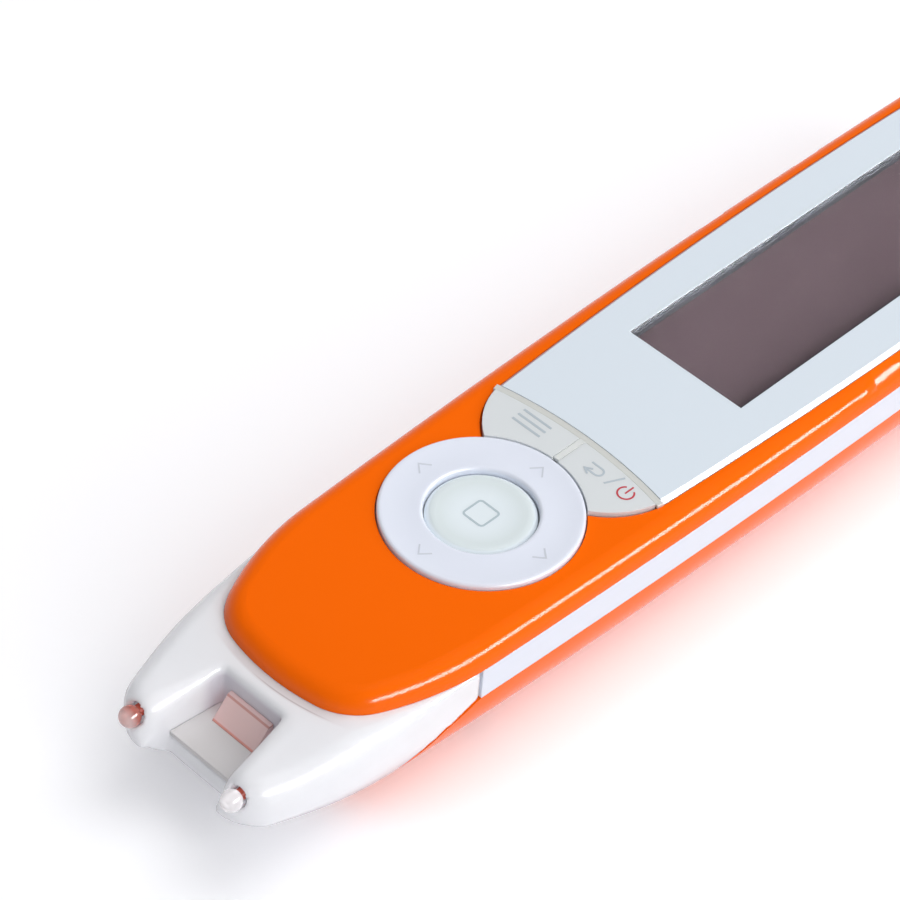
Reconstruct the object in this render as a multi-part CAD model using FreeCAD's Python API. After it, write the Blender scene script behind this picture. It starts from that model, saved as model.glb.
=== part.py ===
import FreeCAD, Part
import math
import os

from FreeCAD import Vector

# A reading pen: an orange two-part case with a white band, a clear nose that straddles the line of
# print, a ring with a button in it, two keys and a display. It rests on its keel at Z = 0, with the
# nose towards -X, the tail towards +X and the display up. All sizes are in millimetres.

# Lengths along the pen, one after the other from the nose
tip_to_ring = 44.7
ring_to_window = 33.2
window_length = 53.0
window_to_tail = 14.3

# Heights, one above the other from the keel
lower_height = 11.5
band_height = 4.3
cover_height = 2.6
panel_stand = 0.5
ring_stand = 0.1

# Plan outline: long side arcs, a square tail with round corners, a nose that closes in
body_half_width = 16.75
side_radius = 1700.0
side_spans = 4
widest_from_tail = 33.7
tail_corner = 8.0
nose_radius = 50.0
nose_length = 17.5

# Front of the top cover, seen from above
cover_front_to_ring = 31.6
shoulder_to_ring = 13.2
shoulder_radius = 36.0
cover_corner = 7.5
cover_front_radius = 30.0
cover_front_drop = 0.8
cover_edge_radius = 2.5

# Underside: a flat keel that lifts towards the nose
keel_share = 0.27
keel_lift_to_ring = 12.0
keel_radius = 490.0
snout_lift_to_ring = 23.2
snout_radius = 45.0
snout_spans = 3
keel_spans = 3

# Walls and gaps. A piece is sunk by the root into the one it grows from, and two places count as the
# same within a hair.
case_wall = 1.4
shell_wall = 1.5
chord_count = 3
nose_wall = 1.3
seat_gap = 0.03
lip_depth = 0.75
lip_height = 0.42
lip_gap = 0.1
root = 0.2
hair = 0.01
past = 3.0
rim_slack = 0.3

# Joint between the band and the nose, and the curved front edge of the bottom cover
seam_to_ring = 14.6
belly_front_to_ring = 31.2
belly_edge_bulge = 1.6
belly_edge_steps = 4

# Nose: top slope, rounded prong ends, and the gap between the prongs
nose_top_break_to_ring = 30.0
nose_top_run = 9.0
nose_top_drop = 0.6
nose_top_slope = 0.05
nose_crown = 2.2
nose_crown_run = 12.0
nose_crown_least = 0.25
nose_crown_growth = 0.2
nose_droop = 0.007
nose_flank_least = 0.5
nose_wall_least = 0.1
nose_skin_spans = 7
nose_hollow_spans = 5
tip_round = 4.5
tip_height = 12.6
tip_share = 0.4
tip_half_width = 7.8
gap_back_to_ring = 34.0
gap_back_half_width = 4.55
gap_mouth_half_width = 5.4
gap_mouth_radius = 1.4
gap_floor = 9.4
gap_floor_to_tip = 3.6
guide_thickness = 0.6
guide_gap = 0.08

# Panel and keys
deck_half_width = 14.35
deck_radius = 800.0
deck_to_tail = 3.6
deck_corner = 4.4
deck_front_to_ring = 6.6
deck_front_corner = 10.5
deck_ledge = 1.2
panel_thickness = 1.2
panel_gap = 0.08
panel_chamfer = 0.5
groove_to_ring = 17.0
groove_radius = 60.0
groove_width = 0.9
key_thickness = 1.0
key_gap = 0.25
key_split = 0.9
key_travel = 0.4
key_stem_radius = 1.1
key_stem_reach = 14.0
key_stem_side = 6.0
key_frame_thickness = 0.75
key_frame_gap = 0.1
key_frame_reach = 1.5
key_frame_rib_share = 0.55
key_frame_ring_gap = 0.6
key_stem_gap = 0.15
divider_width = 0.4

# Navigation ring and its button
ring_radius = 11.4
ring_width = 4.94
ring_gap = 0.25
ring_thickness = 1.4
ring_dish = 0.3
ring_inner_edge = 0.35
ring_outer_edge = 0.55
ring_skirt = 1.1
ring_flange_width = 0.9
ring_flange_thickness = 0.6
ring_tilt = 2.0
rocker_inset = 1.0
pusher_side = 1.6
ok_gap = 0.26
ok_edge_width = 0.7
ok_dish = 0.2
ok_sink = 0.45
ok_edge_drop = 0.55
ok_flange_width = 1.0
ok_flange_thickness = 0.5
ok_stem_radius = 1.5
pad_gap = 0.4
pad_width = 2.2
pad_thickness = 0.8
nub_height = 0.5

# Display
window_half_width = 8.55
window_thickness = 0.9
window_gap = 0.04
gasket_border = 0.45
gasket_flange = 1.0
gasket_thickness = 0.45
display_thickness = 1.6
carrier_wall = 1.6
carrier_rib_width = 1.2
carrier_rib_height = 0.8
flex_width = 10.0
flex_thickness = 0.2
flex_rise = 0.6
flex_lead = 0.6

# Board and what it carries
board_thickness = 1.0
board_rise = 1.4
board_inset = 2.6
board_to_ring = 12.6
board_hole_gap = 0.25
chip_lengths = (12.0, 9.0, 6.0, 4.0)
chip_height = 1.2
chips_to_window = 2.5
chips_to_end = 6.0
switch_side = 3.5
switch_height = 1.65
switch_travel = 0.4
switch_plunger = 1.6
play = 0.05

# Case screws
screw_radius = 0.9
screw_head_radius = 1.6
screw_head_height = 1.2
screw_fit = 0.04
screw_hole_end = 0.6
screw_end = 1.2
screw_slot_width = 0.4
screw_slot_depth = 0.6
screw_slot_reach = 0.9
boss_radius = 2.2
column_radius = 2.8
column_fit = 0.15
screw_seat_height = 6.5
screw_side_inset = 3.75
front_screw_to_ring = 10.2
rear_screw_to_tail = 10.5

# Battery and speaker
battery_thickness = 5.3
battery_to_ring = 6.0
battery_to_speaker = 7.6
battery_pad_thickness = 0.5
battery_rib_height = 0.9
battery_rib_width = 1.2
battery_side_gap = 0.4
battery_rib_shares = (0.15, 0.5, 0.85)
battery_corner = 1.6
battery_strip = 3.0
battery_strip_inset = 1.2
battery_pad_setback = 3.0
speaker_radius = 7.4
speaker_height = 3.4
speaker_to_tail = 21.5
speaker_gasket_thickness = 0.5
speaker_rim = 1.2
speaker_magnet_radius = 4.4
speaker_magnet_height = 1.2
speaker_cone_base = 2.0
speaker_cone_depth = 1.2
speaker_cone_rim = 1.0
speaker_gasket_gap = 0.1
speaker_seat_height = 2.6
grille_radius = 5.0
grille_side_slots = 2
grille_slot = 0.9
grille_pitch = 2.0

# Sockets at the tail
jack_radius = 1.8
jack_depth = 12.0
jack_body_width = 6.2
jack_body_height = 4.7
jack_collar_radius = 2.3
jack_back_wall = 2.0
jack_set = 0.3
jack_band_gap = 0.3
usb_width = 7.5
usb_height = 2.45
usb_depth = 5.4
usb_wall = 0.3
usb_set = 0.4
usb_corner = 0.6
usb_tongue_inset = 1.6
usb_tongue_thickness = 0.5
socket_hole_gap = 0.2
socket_hole_reach = 5.0

# Optics in the nose
optics_half_width = 6.3
optics_length = 14.6
optics_low = 6.2
optics_high = 13.8
optics_wall = 0.9
optics_gap = 0.1
lens_radius = 2.5
barrel_wall = 0.6
barrel_fit = 0.04
lens_thickness = 2.0
lens_edge = 0.4
lens_set = 1.3
lens_seat_room = 0.4
lens_ledge = 0.8
barrel_length = 6.0
sensor_board_thickness = 0.8
sensor_board_margin = 0.3
sensor_thickness = 0.9
sensor_side = 5.2
lamp_board_set = 0.6
lamp_board_length = 4.0
lamp_board_width = 8.8
lamp_board_thickness = 0.7
lamp_length = 2.2
lamp_width = 2.4
lamp_height = 1.0
lamp_side = 2.8
window_base = 2.8
window_rise = 2.6
window_side = 3.2
window_crest = 0.5
window_margin = 0.3

# Trigger behind the foot tips
arm_radius = 0.7
arm_fit = 0.05
foot_fit = 0.1
foot_radius = 1.25
foot_set = 0.4
foot_neck_share = 0.75
trigger_travel = 0.6
yoke_thickness = 1.0
yoke_height = 2.0
yoke_to_optics = 2.6
yoke_end = 0.9
finger_width = 1.2
finger_rise = 1.45
finger_gap = 0.1
trigger_switch_set = 0.4
trigger_switch_side = 5.8
trigger_switch_length = 3.2
trigger_switch_width = 4.0
trigger_switch_height = 1.9
trigger_plunger_radius = 0.55
trigger_plunger_out = 0.06
spring_length = 2.5
spring_strip = 0.2
spring_width = 3.0
spring_rise = 1.4
spring_slant = 0.32
spring_crotch = 0.44
post_thickness = 1.0
post_half_width = 2.2
post_rise = 1.6
post_gap = 0.2

# Places along the pen
body_length = tip_to_ring + ring_to_window + window_length + window_to_tail
foot_reach = foot_radius - foot_set
tail_x = (body_length + foot_reach) / 2
nose_x = tail_x - body_length
ring_x = nose_x + tip_to_ring
window_x = ring_x + ring_to_window
widest_x = tail_x - widest_from_tail
seam_x = ring_x - seam_to_ring
gap_back_x = ring_x - gap_back_to_ring
gap_floor_x = nose_x + gap_floor_to_tip
deck_front_x = ring_x + deck_front_to_ring
deck_tail_x = tail_x - deck_to_tail
board_front_x = ring_x - board_to_ring
speaker_x = tail_x - speaker_to_tail
battery_x = ring_x + battery_to_ring
battery_length = speaker_x - speaker_radius - battery_to_speaker - battery_x

# Radii inside the navigation ring
ring_flange_radius = ring_radius + ring_flange_width
ring_hole_radius = ring_radius - ring_width
ok_radius = ring_hole_radius - ok_gap
ok_flat_radius = ok_radius - ok_edge_width
ok_flange_radius = ok_radius + ok_flange_width
pad_outer_radius = ring_radius - ring_skirt - pad_gap
pad_inner_radius = pad_outer_radius - pad_width
rocker_radius = pad_outer_radius - rocker_inset

# Levels above the keel
split_low = lower_height
split_top = lower_height + band_height
cover_top = split_top + cover_height
panel_top = cover_top + panel_stand
panel_low = panel_top - panel_thickness
ring_top = panel_top + ring_stand
cover_roof = cover_top - case_wall
board_top = split_low + board_rise
board_low = board_top - board_thickness
switch_top = board_top + seat_gap + switch_height + switch_travel
pad_rise = rocker_radius * math.sin(math.radians(ring_tilt))
corner_tilt = math.radians(ring_tilt * math.sqrt(2))
flange_rise = ring_flange_radius * math.sin(corner_tilt)
press_clearance = max(key_travel, pad_rise) + play
press_level = switch_top + press_clearance
key_low = panel_top - key_thickness
key_frame_top = cover_roof - seat_gap
key_frame_low = key_frame_top - key_frame_thickness
display_top = panel_low - seat_gap - gasket_thickness
display_low = display_top - display_thickness
jack_height = board_low - 2 * seat_gap - jack_body_height / 2


def box(x0, x1, y0, y1, z0, z1):
    """Block between two corners."""
    return Part.makeBox(x1 - x0, y1 - y0, z1 - z0, Vector(x0, y0, z0))


def post(x, y, z0, z1, radius):
    """Upright cylinder."""
    return Part.makeCylinder(radius, z1 - z0, Vector(x, y, z0))


def block(x, y, z0, z1, side):
    """Upright square block about a plan place."""
    return box(x - side / 2, x + side / 2, y - side / 2, y + side / 2, z0, z1)


def rod(x0, x1, y, z, radius):
    """Cylinder that lies along the pen."""
    return Part.makeCylinder(radius, x1 - x0, Vector(x0, y, z), Vector(1, 0, 0))


def tube(x, y, z0, z1, inner, outer):
    """Upright ring."""
    return post(x, y, z0, z1, outer).cut(post(x, y, z0 - 1, z1 + 1, inner))


def across(points, half_width):
    """Solid from a side view: XZ points joined by straight lines, drawn out across the pen."""
    corners = [Vector(x, -half_width, z) for x, z in points]
    face = Part.Face(Part.makePolygon(corners + corners[:1]))
    return face.extrude(Vector(0, 2 * half_width, 0))


def upright(points, z0, z1):
    """Solid from a plan view: XY points joined by straight lines, drawn up."""
    corners = [Vector(x, y, z0) for x, y in points]
    face = Part.Face(Part.makePolygon(corners + corners[:1]))
    return face.extrude(Vector(0, 0, z1 - z0))


def fuse(shapes):
    """One shape from several that touch or overlap."""
    return shapes[0].multiFuse(shapes[1:]).removeSplitter()


def mirrored(shape):
    """Shape on the other side of the pen."""
    return shape.mirror(Vector(0, 0, 0), Vector(0, 1, 0))


def toward(start, goal, distance):
    """Point at a distance from start, in the direction of goal."""
    step = goal - start
    return start + step * (distance / step.Length)


def flipped(point):
    """Point on the other side of the pen."""
    return Vector(point.x, -point.y, point.z)


def circle_crossing(centre_a, radius_a, centre_b, radius_b):
    """Where two circles cross, left of the way from the first centre to the second."""
    way = centre_b - centre_a
    gap = way.Length
    along = (radius_a ** 2 - radius_b ** 2 + gap ** 2) / (2 * gap)
    aside = math.sqrt(radius_a ** 2 - along ** 2)
    unit = way * (1 / gap)
    return centre_a + unit * along + Vector(-unit.y, unit.x, 0) * aside


def arc(start, centre, end):
    """Short arc about a centre."""
    middle = toward(centre, (start + end) * 0.5, (start - centre).Length)
    return Part.Arc(start, middle, end).toShape()


def line(start, end):
    """Straight edge."""
    return Part.LineSegment(start, end).toShape()


def arc_reach(x, centre, radius):
    """How far a circle reaches sideways from its centre line at a place along the pen."""
    return math.sqrt(max(radius ** 2 - (x - centre.x) ** 2, 0.0))


# Centres of the outline's arcs. Each arc touches the next, so an inset only shortens the radii.
side_centre = Vector(widest_x, body_half_width - side_radius, 0)
tail_centre_x = tail_x - tail_corner
tail_centre = Vector(tail_centre_x,
                     side_centre.y + arc_reach(tail_centre_x, side_centre, side_radius - tail_corner), 0)


def side_point(x):
    """Point of the long side arc."""
    return Vector(x, side_centre.y + arc_reach(x, side_centre, side_radius), 0)


nose_break = side_point(nose_x + nose_length)
nose_centre = toward(side_centre, nose_break, side_radius - nose_radius)
shoulder = side_point(ring_x - shoulder_to_ring)
shoulder_centre = toward(side_centre, shoulder, side_radius - shoulder_radius)
front_centre = Vector(ring_x - cover_front_to_ring + cover_front_radius, 0, 0)
corner_centre = circle_crossing(shoulder_centre, shoulder_radius - cover_corner,
                                front_centre, cover_front_radius - cover_corner)

# Centres of the keel's arcs, in the side view, with height as the second number
keel_break = Vector(ring_x + keel_lift_to_ring, 0, 0)
keel_centre = Vector(keel_break.x, keel_radius, 0)
snout_x = ring_x - snout_lift_to_ring
snout_break = Vector(snout_x, keel_radius - arc_reach(snout_x, keel_centre, keel_radius), 0)
snout_centre = toward(keel_centre, snout_break, keel_radius - snout_radius)


def half_width(x, inset=0.0):
    """Half of the body's width at a place along the pen."""
    if x > tail_centre.x:
        return tail_centre.y + arc_reach(x, tail_centre, tail_corner - inset)
    if x < nose_break.x:
        return nose_centre.y + arc_reach(x, nose_centre, nose_radius - inset)
    return side_centre.y + arc_reach(x, side_centre, side_radius - inset)


def keel_level(x, inset=0.0):
    """Height of the underside at a place along the pen."""
    if x > keel_break.x:
        return inset
    if x > snout_break.x:
        return keel_centre.y - arc_reach(x, keel_centre, keel_radius - inset)
    return snout_centre.y - arc_reach(x, snout_centre, snout_radius - inset)


def nose_level(x):
    """Height of the nose's top: level under the cover, an easy step down, then a slight slope."""
    run = ring_x - nose_top_break_to_ring - x
    if run < 0:
        return split_top - seat_gap
    share = min(run / nose_top_run, 1.0)
    step = nose_top_drop * share * share * (3 - 2 * share)
    return split_top - seat_gap - step - nose_top_slope * run


def quarter(start, bend, end):
    """Quarter of an ellipse between two points, bending at the corner of its box."""
    pull = 0.5523
    curve = Part.BezierCurve()
    curve.setPoles([start, start + (bend - start) * pull, end + (bend - end) * pull, end])
    return curve.toShape()


def chords(start, bend, end):
    """The same quarter as a few straight edges, which stay inside the curve."""
    centre = start + end - bend
    points = []
    for i in range(chord_count + 1):
        angle = math.pi / 2 * i / chord_count
        points.append(centre + (start - centre) * math.cos(angle) + (end - centre) * math.sin(angle))
    return [line(first, second) for first, second in zip(points, points[1:])]


def bent(start, bend, end, plain):
    """Edges of a rounded corner: one curve on a skin, or a few straight edges inside a hollow."""
    if plain:
        return chords(start, bend, end)
    return [quarter(start, bend, end)]


def body_section(x, inset, plain):
    """Cross-section of the body: flat keel, quarter-round flanks, upright walls, open flat top."""
    wide = half_width(x, inset)
    if x > widest_x:
        wide = side_centre.y + arc_reach(x, side_centre, side_radius - inset)
    keel = keel_share * half_width(x)
    if x > keel_break.x - hair:
        keel = keel_share * body_half_width
    low = keel_level(x, inset)
    top = split_top + 1
    belly = lower_height
    if plain:
        belly -= lip_height + play
    right = [Vector(x, keel, low), Vector(x, wide, belly), Vector(x, wide, top)]
    left = [flipped(point) for point in right]
    bend = Vector(x, wide, low)
    edges = [line(left[0], right[0])]
    edges += bent(right[0], bend, right[1], plain)
    edges += [line(right[1], right[2]), line(right[2], left[2]), line(left[2], left[1])]
    edges += bent(left[1], flipped(bend), left[0], plain)
    return Part.Wire(edges)


def body_stations(back_x):
    """Places of the body's cross-sections: close together where the keel lifts, then far apart."""
    front = nose_x + tip_round * 2
    places = [front + (snout_x - front) * i / snout_spans for i in range(snout_spans + 1)]
    places += [snout_x + (keel_break.x - snout_x) * i / keel_spans for i in range(1, keel_spans + 1)]
    return places + [(keel_break.x + widest_x) / 2, widest_x, back_x]


def body_hull(inset):
    """Solid inside the body's skin, from under the nose to the tail, whose end is rounded over."""
    end_x = tail_x - inset
    hull = Part.makeLoft([body_section(x, inset, False) for x in body_stations(end_x)], True, True)
    rim = [edge for edge in hull.Edges
           if edge.BoundBox.XMin > end_x - hair and edge.BoundBox.ZMin < split_top]
    return hull.makeFillet(tail_corner - inset, rim)


def body_hollow():
    """Space inside the bottom cover: its floor slopes up at the tail and its low corners are cut."""
    inset = shell_wall
    end_x = tail_x - inset
    space = Part.makeLoft([body_section(x, inset, True) for x in body_stations(end_x)], True, True)
    wide = 2 * body_half_width
    top = 2 * split_top
    bend_x = tail_x - tail_corner
    slant = (tail_corner - inset) / math.sqrt(2)
    floor = across([(nose_x, inset - 1), (bend_x - 1, inset - 1), (bend_x - 1, inset), (bend_x, inset),
                    (bend_x + slant, tail_corner - slant), (end_x, tail_corner), (end_x, top),
                    (nose_x, top)], wide)
    corner = tail_corner + inset
    plan = upright([(nose_x, -wide), (end_x - corner, -wide), (end_x - corner, -body_half_width),
                    (end_x, -body_half_width + corner), (end_x, body_half_width - corner),
                    (end_x - corner, body_half_width), (end_x - corner, wide), (nose_x, wide)], -1, top)
    ledge = min(board_low - 2 * seat_gap, split_low - lip_height - play)
    plan = plan.fuse(body_prism(inset, ring_x, ledge, top))
    return space.common(floor).common(plan)


def nose_section(x, inset, plain):
    """Cross-section of the nose: as the body's, with a crowned top and ends that close in."""
    run = max(ring_x - nose_top_break_to_ring + nose_crown_run - x, 0.0)
    crown = min(nose_crown_least + nose_crown_growth * run, nose_crown)
    blunt = max(nose_x + tip_round - x, 0.0) / tip_round
    close = math.sqrt(max(1.0 - blunt ** 2, 0.0)) * (1 - tip_share) + tip_share
    wide = tip_half_width + (half_width(x) - tip_half_width) * close - inset
    top = tip_height + (nose_level(x) - tip_height) * close - inset
    low = tip_height + (keel_level(x) - tip_height) * close + inset
    keel = keel_share * wide
    droop = max(nose_break.x - x, 0.0)
    belly = max(lower_height - nose_droop * droop ** 2, low + nose_flank_least)
    belly = min(belly, top - crown - nose_wall_least)
    right = [Vector(x, keel, low), Vector(x, wide, belly), Vector(x, wide, top - crown),
             Vector(x, wide - crown, top)]
    left = [flipped(point) for point in right]
    low_bend = Vector(x, wide, low)
    top_bend = Vector(x, wide, top)
    edges = [line(left[0], right[0])]
    edges += bent(right[0], low_bend, right[1], plain)
    edges += [line(right[1], right[2])]
    edges += bent(right[2], top_bend, right[3], plain)
    edges += [line(right[3], left[3])]
    edges += bent(left[3], flipped(top_bend), left[2], plain)
    edges += [line(left[2], left[1])]
    edges += bent(left[1], flipped(low_bend), left[0], plain)
    return Part.Wire(edges)


def nose_hull(inset, back_x, spans, plain):
    """Solid inside the nose's skin, from behind the seam to the prong ends."""
    round_start = nose_x + tip_round
    turns = 3
    stations = [back_x + (round_start - back_x) * i / spans for i in range(spans + 1)]
    reach = tip_round - inset
    stations += [round_start - reach * math.sin(math.pi / 2 * i / turns) for i in range(1, turns + 1)]
    return Part.makeLoft([nose_section(x, inset, plain) for x in stations], True, True)


def drawn_up(edges, z0, z1):
    """Solid over a closed plan outline that was drawn at height nought."""
    face = Part.Face(Part.Wire(Part.__sortEdges__(edges)))
    solid = face.extrude(Vector(0, 0, z1 - z0))
    solid.translate(Vector(0, 0, z0))
    return solid


def side_arcs(start, end):
    """Edges of a side arc, in a few lengths, because one face on so long a radius is meshed coarsely."""
    radius = (start - side_centre).Length
    way = [start]
    for i in range(1, side_spans):
        x = start.x + (end.x - start.x) * i / side_spans
        way.append(Vector(x, side_centre.y + arc_reach(x, side_centre, radius), 0))
    way.append(end)
    return [arc(first, side_centre, second) for first, second in zip(way, way[1:])]


def across_edges(edges):
    """The same edges on the other side of the pen."""
    return [edge.mirror(Vector(0, 0, 0), Vector(0, 1, 0)) for edge in edges]


def side_and_tail(inset, start):
    """Edges of the plan outline from a start point on the side, round the tail, to the other side."""
    turn = toward(side_centre, tail_centre, side_radius - inset)
    corner = Vector(tail_x - inset, tail_centre.y, 0)
    half = side_arcs(start, turn) + [arc(turn, tail_centre, corner)]
    return half + [line(corner, flipped(corner))] + across_edges(half)


def body_prism(inset, front_x, z0, z1):
    """Block with the body's plan outline, cut square at the front."""
    start = Vector(front_x, side_centre.y + arc_reach(front_x, side_centre, side_radius - inset), 0)
    edges = side_and_tail(inset, start)
    return drawn_up(edges + [line(flipped(start), start)], z0, z1)


def cover_prism(inset, z0, z1):
    """Block with the top cover's plan outline: shoulders, round corners and a bowed front."""
    start = toward(side_centre, shoulder, side_radius - inset)
    bend = toward(shoulder_centre, corner_centre, shoulder_radius - inset)
    turn = toward(front_centre, corner_centre, cover_front_radius - inset)
    apex = Vector(front_centre.x - cover_front_radius + inset, 0, 0)
    edges = side_and_tail(inset, start) + [
        arc(flipped(start), flipped(shoulder_centre), flipped(bend)),
        arc(flipped(bend), flipped(corner_centre), flipped(turn)),
        Part.Arc(flipped(turn), apex, turn).toShape(),
        arc(turn, corner_centre, bend),
        arc(bend, shoulder_centre, start),
    ]
    return drawn_up(edges, z0, z1)


def roof_profile(drop, lift):
    """Side view of the top cover's space: flat roof that dips at the front, bottom on band and nose."""
    front_x = ring_x - cover_front_to_ring
    far_x = front_x - 2
    dip_length = seam_x - front_x
    dip_radius = (dip_length ** 2 + cover_front_drop ** 2) / (2 * cover_front_drop)
    dip_centre = Vector(seam_x, 0, cover_top - dip_radius)
    side_y = -2 * body_half_width
    end_x = tail_x + 1

    def roof_point(x):
        height = math.sqrt((dip_radius - drop) ** 2 - (x - seam_x) ** 2)
        return Vector(x, side_y, dip_centre.z + height)

    break_x = ring_x - nose_top_break_to_ring
    steps = 6
    seat_points = [break_x + (far_x - break_x) * i / steps for i in range(steps + 1)]
    seat = Part.BSplineCurve()
    seat.interpolate([Vector(x, side_y, nose_level(x) + lift) for x in seat_points])
    seat_end = Vector(far_x, side_y, nose_level(far_x) + lift)
    seat_start = Vector(break_x, side_y, nose_level(break_x) + lift)
    roof_middle = roof_point((far_x + seam_x) / 2)
    edges = [
        line(Vector(end_x, side_y, seat_start.z), seat_start),
        seat.toShape(),
        line(seat_end, roof_point(far_x)),
        Part.Arc(roof_point(far_x), roof_middle, roof_point(seam_x)).toShape(),
        line(roof_point(seam_x), Vector(end_x, side_y, cover_top - drop)),
        line(Vector(end_x, side_y, cover_top - drop), Vector(end_x, side_y, seat_start.z)),
    ]
    return Part.Face(Part.Wire(edges)).extrude(Vector(0, -2 * side_y, 0))


def deck_prism(inset, z0, z1):
    """Block with the plan outline of the panel and keys together."""
    centre = Vector(widest_x, deck_half_width - deck_radius, 0)
    radius = deck_radius - inset
    front_x = deck_front_x + inset
    back_x = deck_tail_x - inset
    front_y = centre.y + arc_reach(front_x, centre, radius)
    back_y = centre.y + arc_reach(back_x, centre, radius)
    front = Vector(front_x, front_y, 0)
    back = Vector(back_x, back_y, 0)
    solid = drawn_up([
        arc(front, centre, back),
        line(back, flipped(back)),
        arc(flipped(back), flipped(centre), flipped(front)),
        line(flipped(front), front),
    ], z0, z1)
    for x, radius in ((front_x, deck_front_corner), (back_x, deck_corner)):
        corners = [edge for edge in solid.Edges
                   if abs(edge.BoundBox.XMin - x) < hair and edge.BoundBox.XLength < hair
                   and edge.BoundBox.YLength < hair]
        solid = solid.makeFillet(radius - inset, corners)
    return solid


def groove_cylinder(radius, z0, z1):
    """Cylinder whose rim is the bowed line between the keys and the panel."""
    return post(ring_x + groove_to_ring - groove_radius, 0, z0, z1, radius)


def screw_places():
    """Plan places of the four case screws."""
    places = []
    for x in (ring_x - front_screw_to_ring, tail_x - rear_screw_to_tail):
        y = half_width(x) - screw_side_inset
        places += [(x, y), (x, -y)]
    return places


def top_cover():
    """Orange shell with the ring's hole, a sunk deck for the panel and four screw bosses."""
    shell = cover_prism(0, 0, ring_top).common(roof_profile(0, seat_gap))
    rim = [edge for edge in shell.Edges if on_roof_rim(edge)]
    shell = shell.makeFillet(cover_edge_radius, rim)
    hollow = cover_prism(case_wall, 0, ring_top).common(roof_space())
    shell = shell.cut(hollow)
    shell = shell.cut(deck_prism(0, panel_low, ring_top))
    shell = shell.cut(deck_prism(deck_ledge, 0, ring_top))
    key_well = deck_prism(0, key_low - key_travel - play, ring_top)
    shell = shell.cut(key_well.common(groove_cylinder(groove_radius, 0, ring_top)))
    shell = shell.cut(post(ring_x, 0, 0, ring_top, ring_radius + ring_gap))
    bosses = [post(x, y, board_top + seat_gap, cover_roof + root, boss_radius) for x, y in screw_places()]
    shell = shell.multiFuse(bosses)
    for x, y in screw_places():
        shell = shell.cut(post(x, y, 0, cover_roof - screw_hole_end, screw_radius + screw_fit))
    return shell


def on_roof_rim(edge):
    """Whether an edge runs round the roof, where the roof meets the walls."""
    bounds = edge.BoundBox
    if bounds.ZMin < cover_top - cover_front_drop - rim_slack:
        return False
    crosses_roof = bounds.XLength < hair and bounds.YLength > body_half_width
    return not crosses_roof or bounds.XMin > tail_x - hair


def roof_space():
    """Side view of the hollow under the roof, open at the bottom."""
    profile = roof_profile(case_wall, seat_gap)
    below = box(ring_x - cover_front_to_ring, tail_x, -body_half_width, body_half_width, 0,
                split_top + hair)
    return profile.fuse(below)


def band_ring(outer, inner, front_x, z0, z1):
    """Wall that follows the body's outline round the tail."""
    ring = body_prism(outer, front_x, z0, z1)
    return ring.cut(body_prism(inner, front_x - 1, z0 - 1, z1 + 1))


def side_band():
    """White frame round both sides and the tail, with lips that locate the two covers."""
    front = seam_x + seat_gap
    low = split_low + seat_gap
    top = split_top - seat_gap
    lip_out = max(case_wall, shell_wall) + lip_gap
    lip_in = lip_out + lip_depth
    lip_front = ring_x - board_to_ring
    wall = band_ring(0, case_wall, front, low, top)
    step = band_ring(case_wall - root, lip_in, lip_front, low, top)
    lip = band_ring(lip_out, lip_in, lip_front, split_low - lip_height, split_top + lip_height)
    band = fuse([wall, step, lip])
    for x, y in screw_places():
        band = band.cut(post(x, y, 0, ring_top, column_radius + column_fit))
    slot_y = usb_width / 2 + socket_hole_gap
    slot_top = board_top + usb_height + socket_hole_gap + seat_gap
    slot = box(tail_x - socket_hole_reach, tail_x + 1, -slot_y, slot_y, split_low - 2, slot_top)
    corners = [edge for edge in slot.Edges
               if edge.BoundBox.XLength > socket_hole_reach and edge.BoundBox.ZMin > split_low]
    return band.cut(slot.makeFillet(usb_corner + socket_hole_gap, corners))


def belly_edge(offset):
    """Space ahead of the bottom cover's bowed front edge, which the nose fills."""
    top = Vector(seam_x - offset, 0, lower_height)
    low = Vector(ring_x - belly_front_to_ring - offset, 0, 0)
    side = (top - low).cross(Vector(0, 1, 0))
    side.normalize()
    rim = []
    for i in range(belly_edge_steps + 1):
        share = i / belly_edge_steps
        bow = 4 * belly_edge_bulge * share * (1 - share)
        point = top + (low - top) * share + side * bow
        rim.append((point.x, point.z))
    front_x = nose_x - 2
    return across(rim + [(front_x, 0), (front_x, ring_top), (top.x, ring_top)], 2 * body_half_width)


def grille_slots():
    """Slots under the speaker, side by side, longer in the middle than at the sides."""
    slots = []
    for i in range(-grille_side_slots, grille_side_slots + 1):
        y = i * grille_pitch
        reach = math.sqrt(grille_radius ** 2 - y ** 2)
        slots.append(box(speaker_x - reach, speaker_x + reach, y - grille_slot / 2, y + grille_slot / 2,
                         -1, shell_wall + 1))
    return slots


def battery_low():
    """Height of the battery's underside."""
    return shell_wall + battery_rib_height + battery_pad_thickness + 2 * seat_gap


def inside_half_width(x, z):
    """Half of the hollow's width at a height, from the flank's quarter-round."""
    wide = half_width(x, shell_wall)
    keel = keel_share * half_width(x)
    low = keel_level(x, shell_wall)
    drop = min((lower_height - z) / (lower_height - low), 1.0)
    return keel + (wide - keel) * math.sqrt(1 - drop ** 2)


def battery_half_width():
    """Half of the battery's width: what the hollow leaves at its underside."""
    return inside_half_width(battery_x, battery_low()) - battery_side_gap


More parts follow.
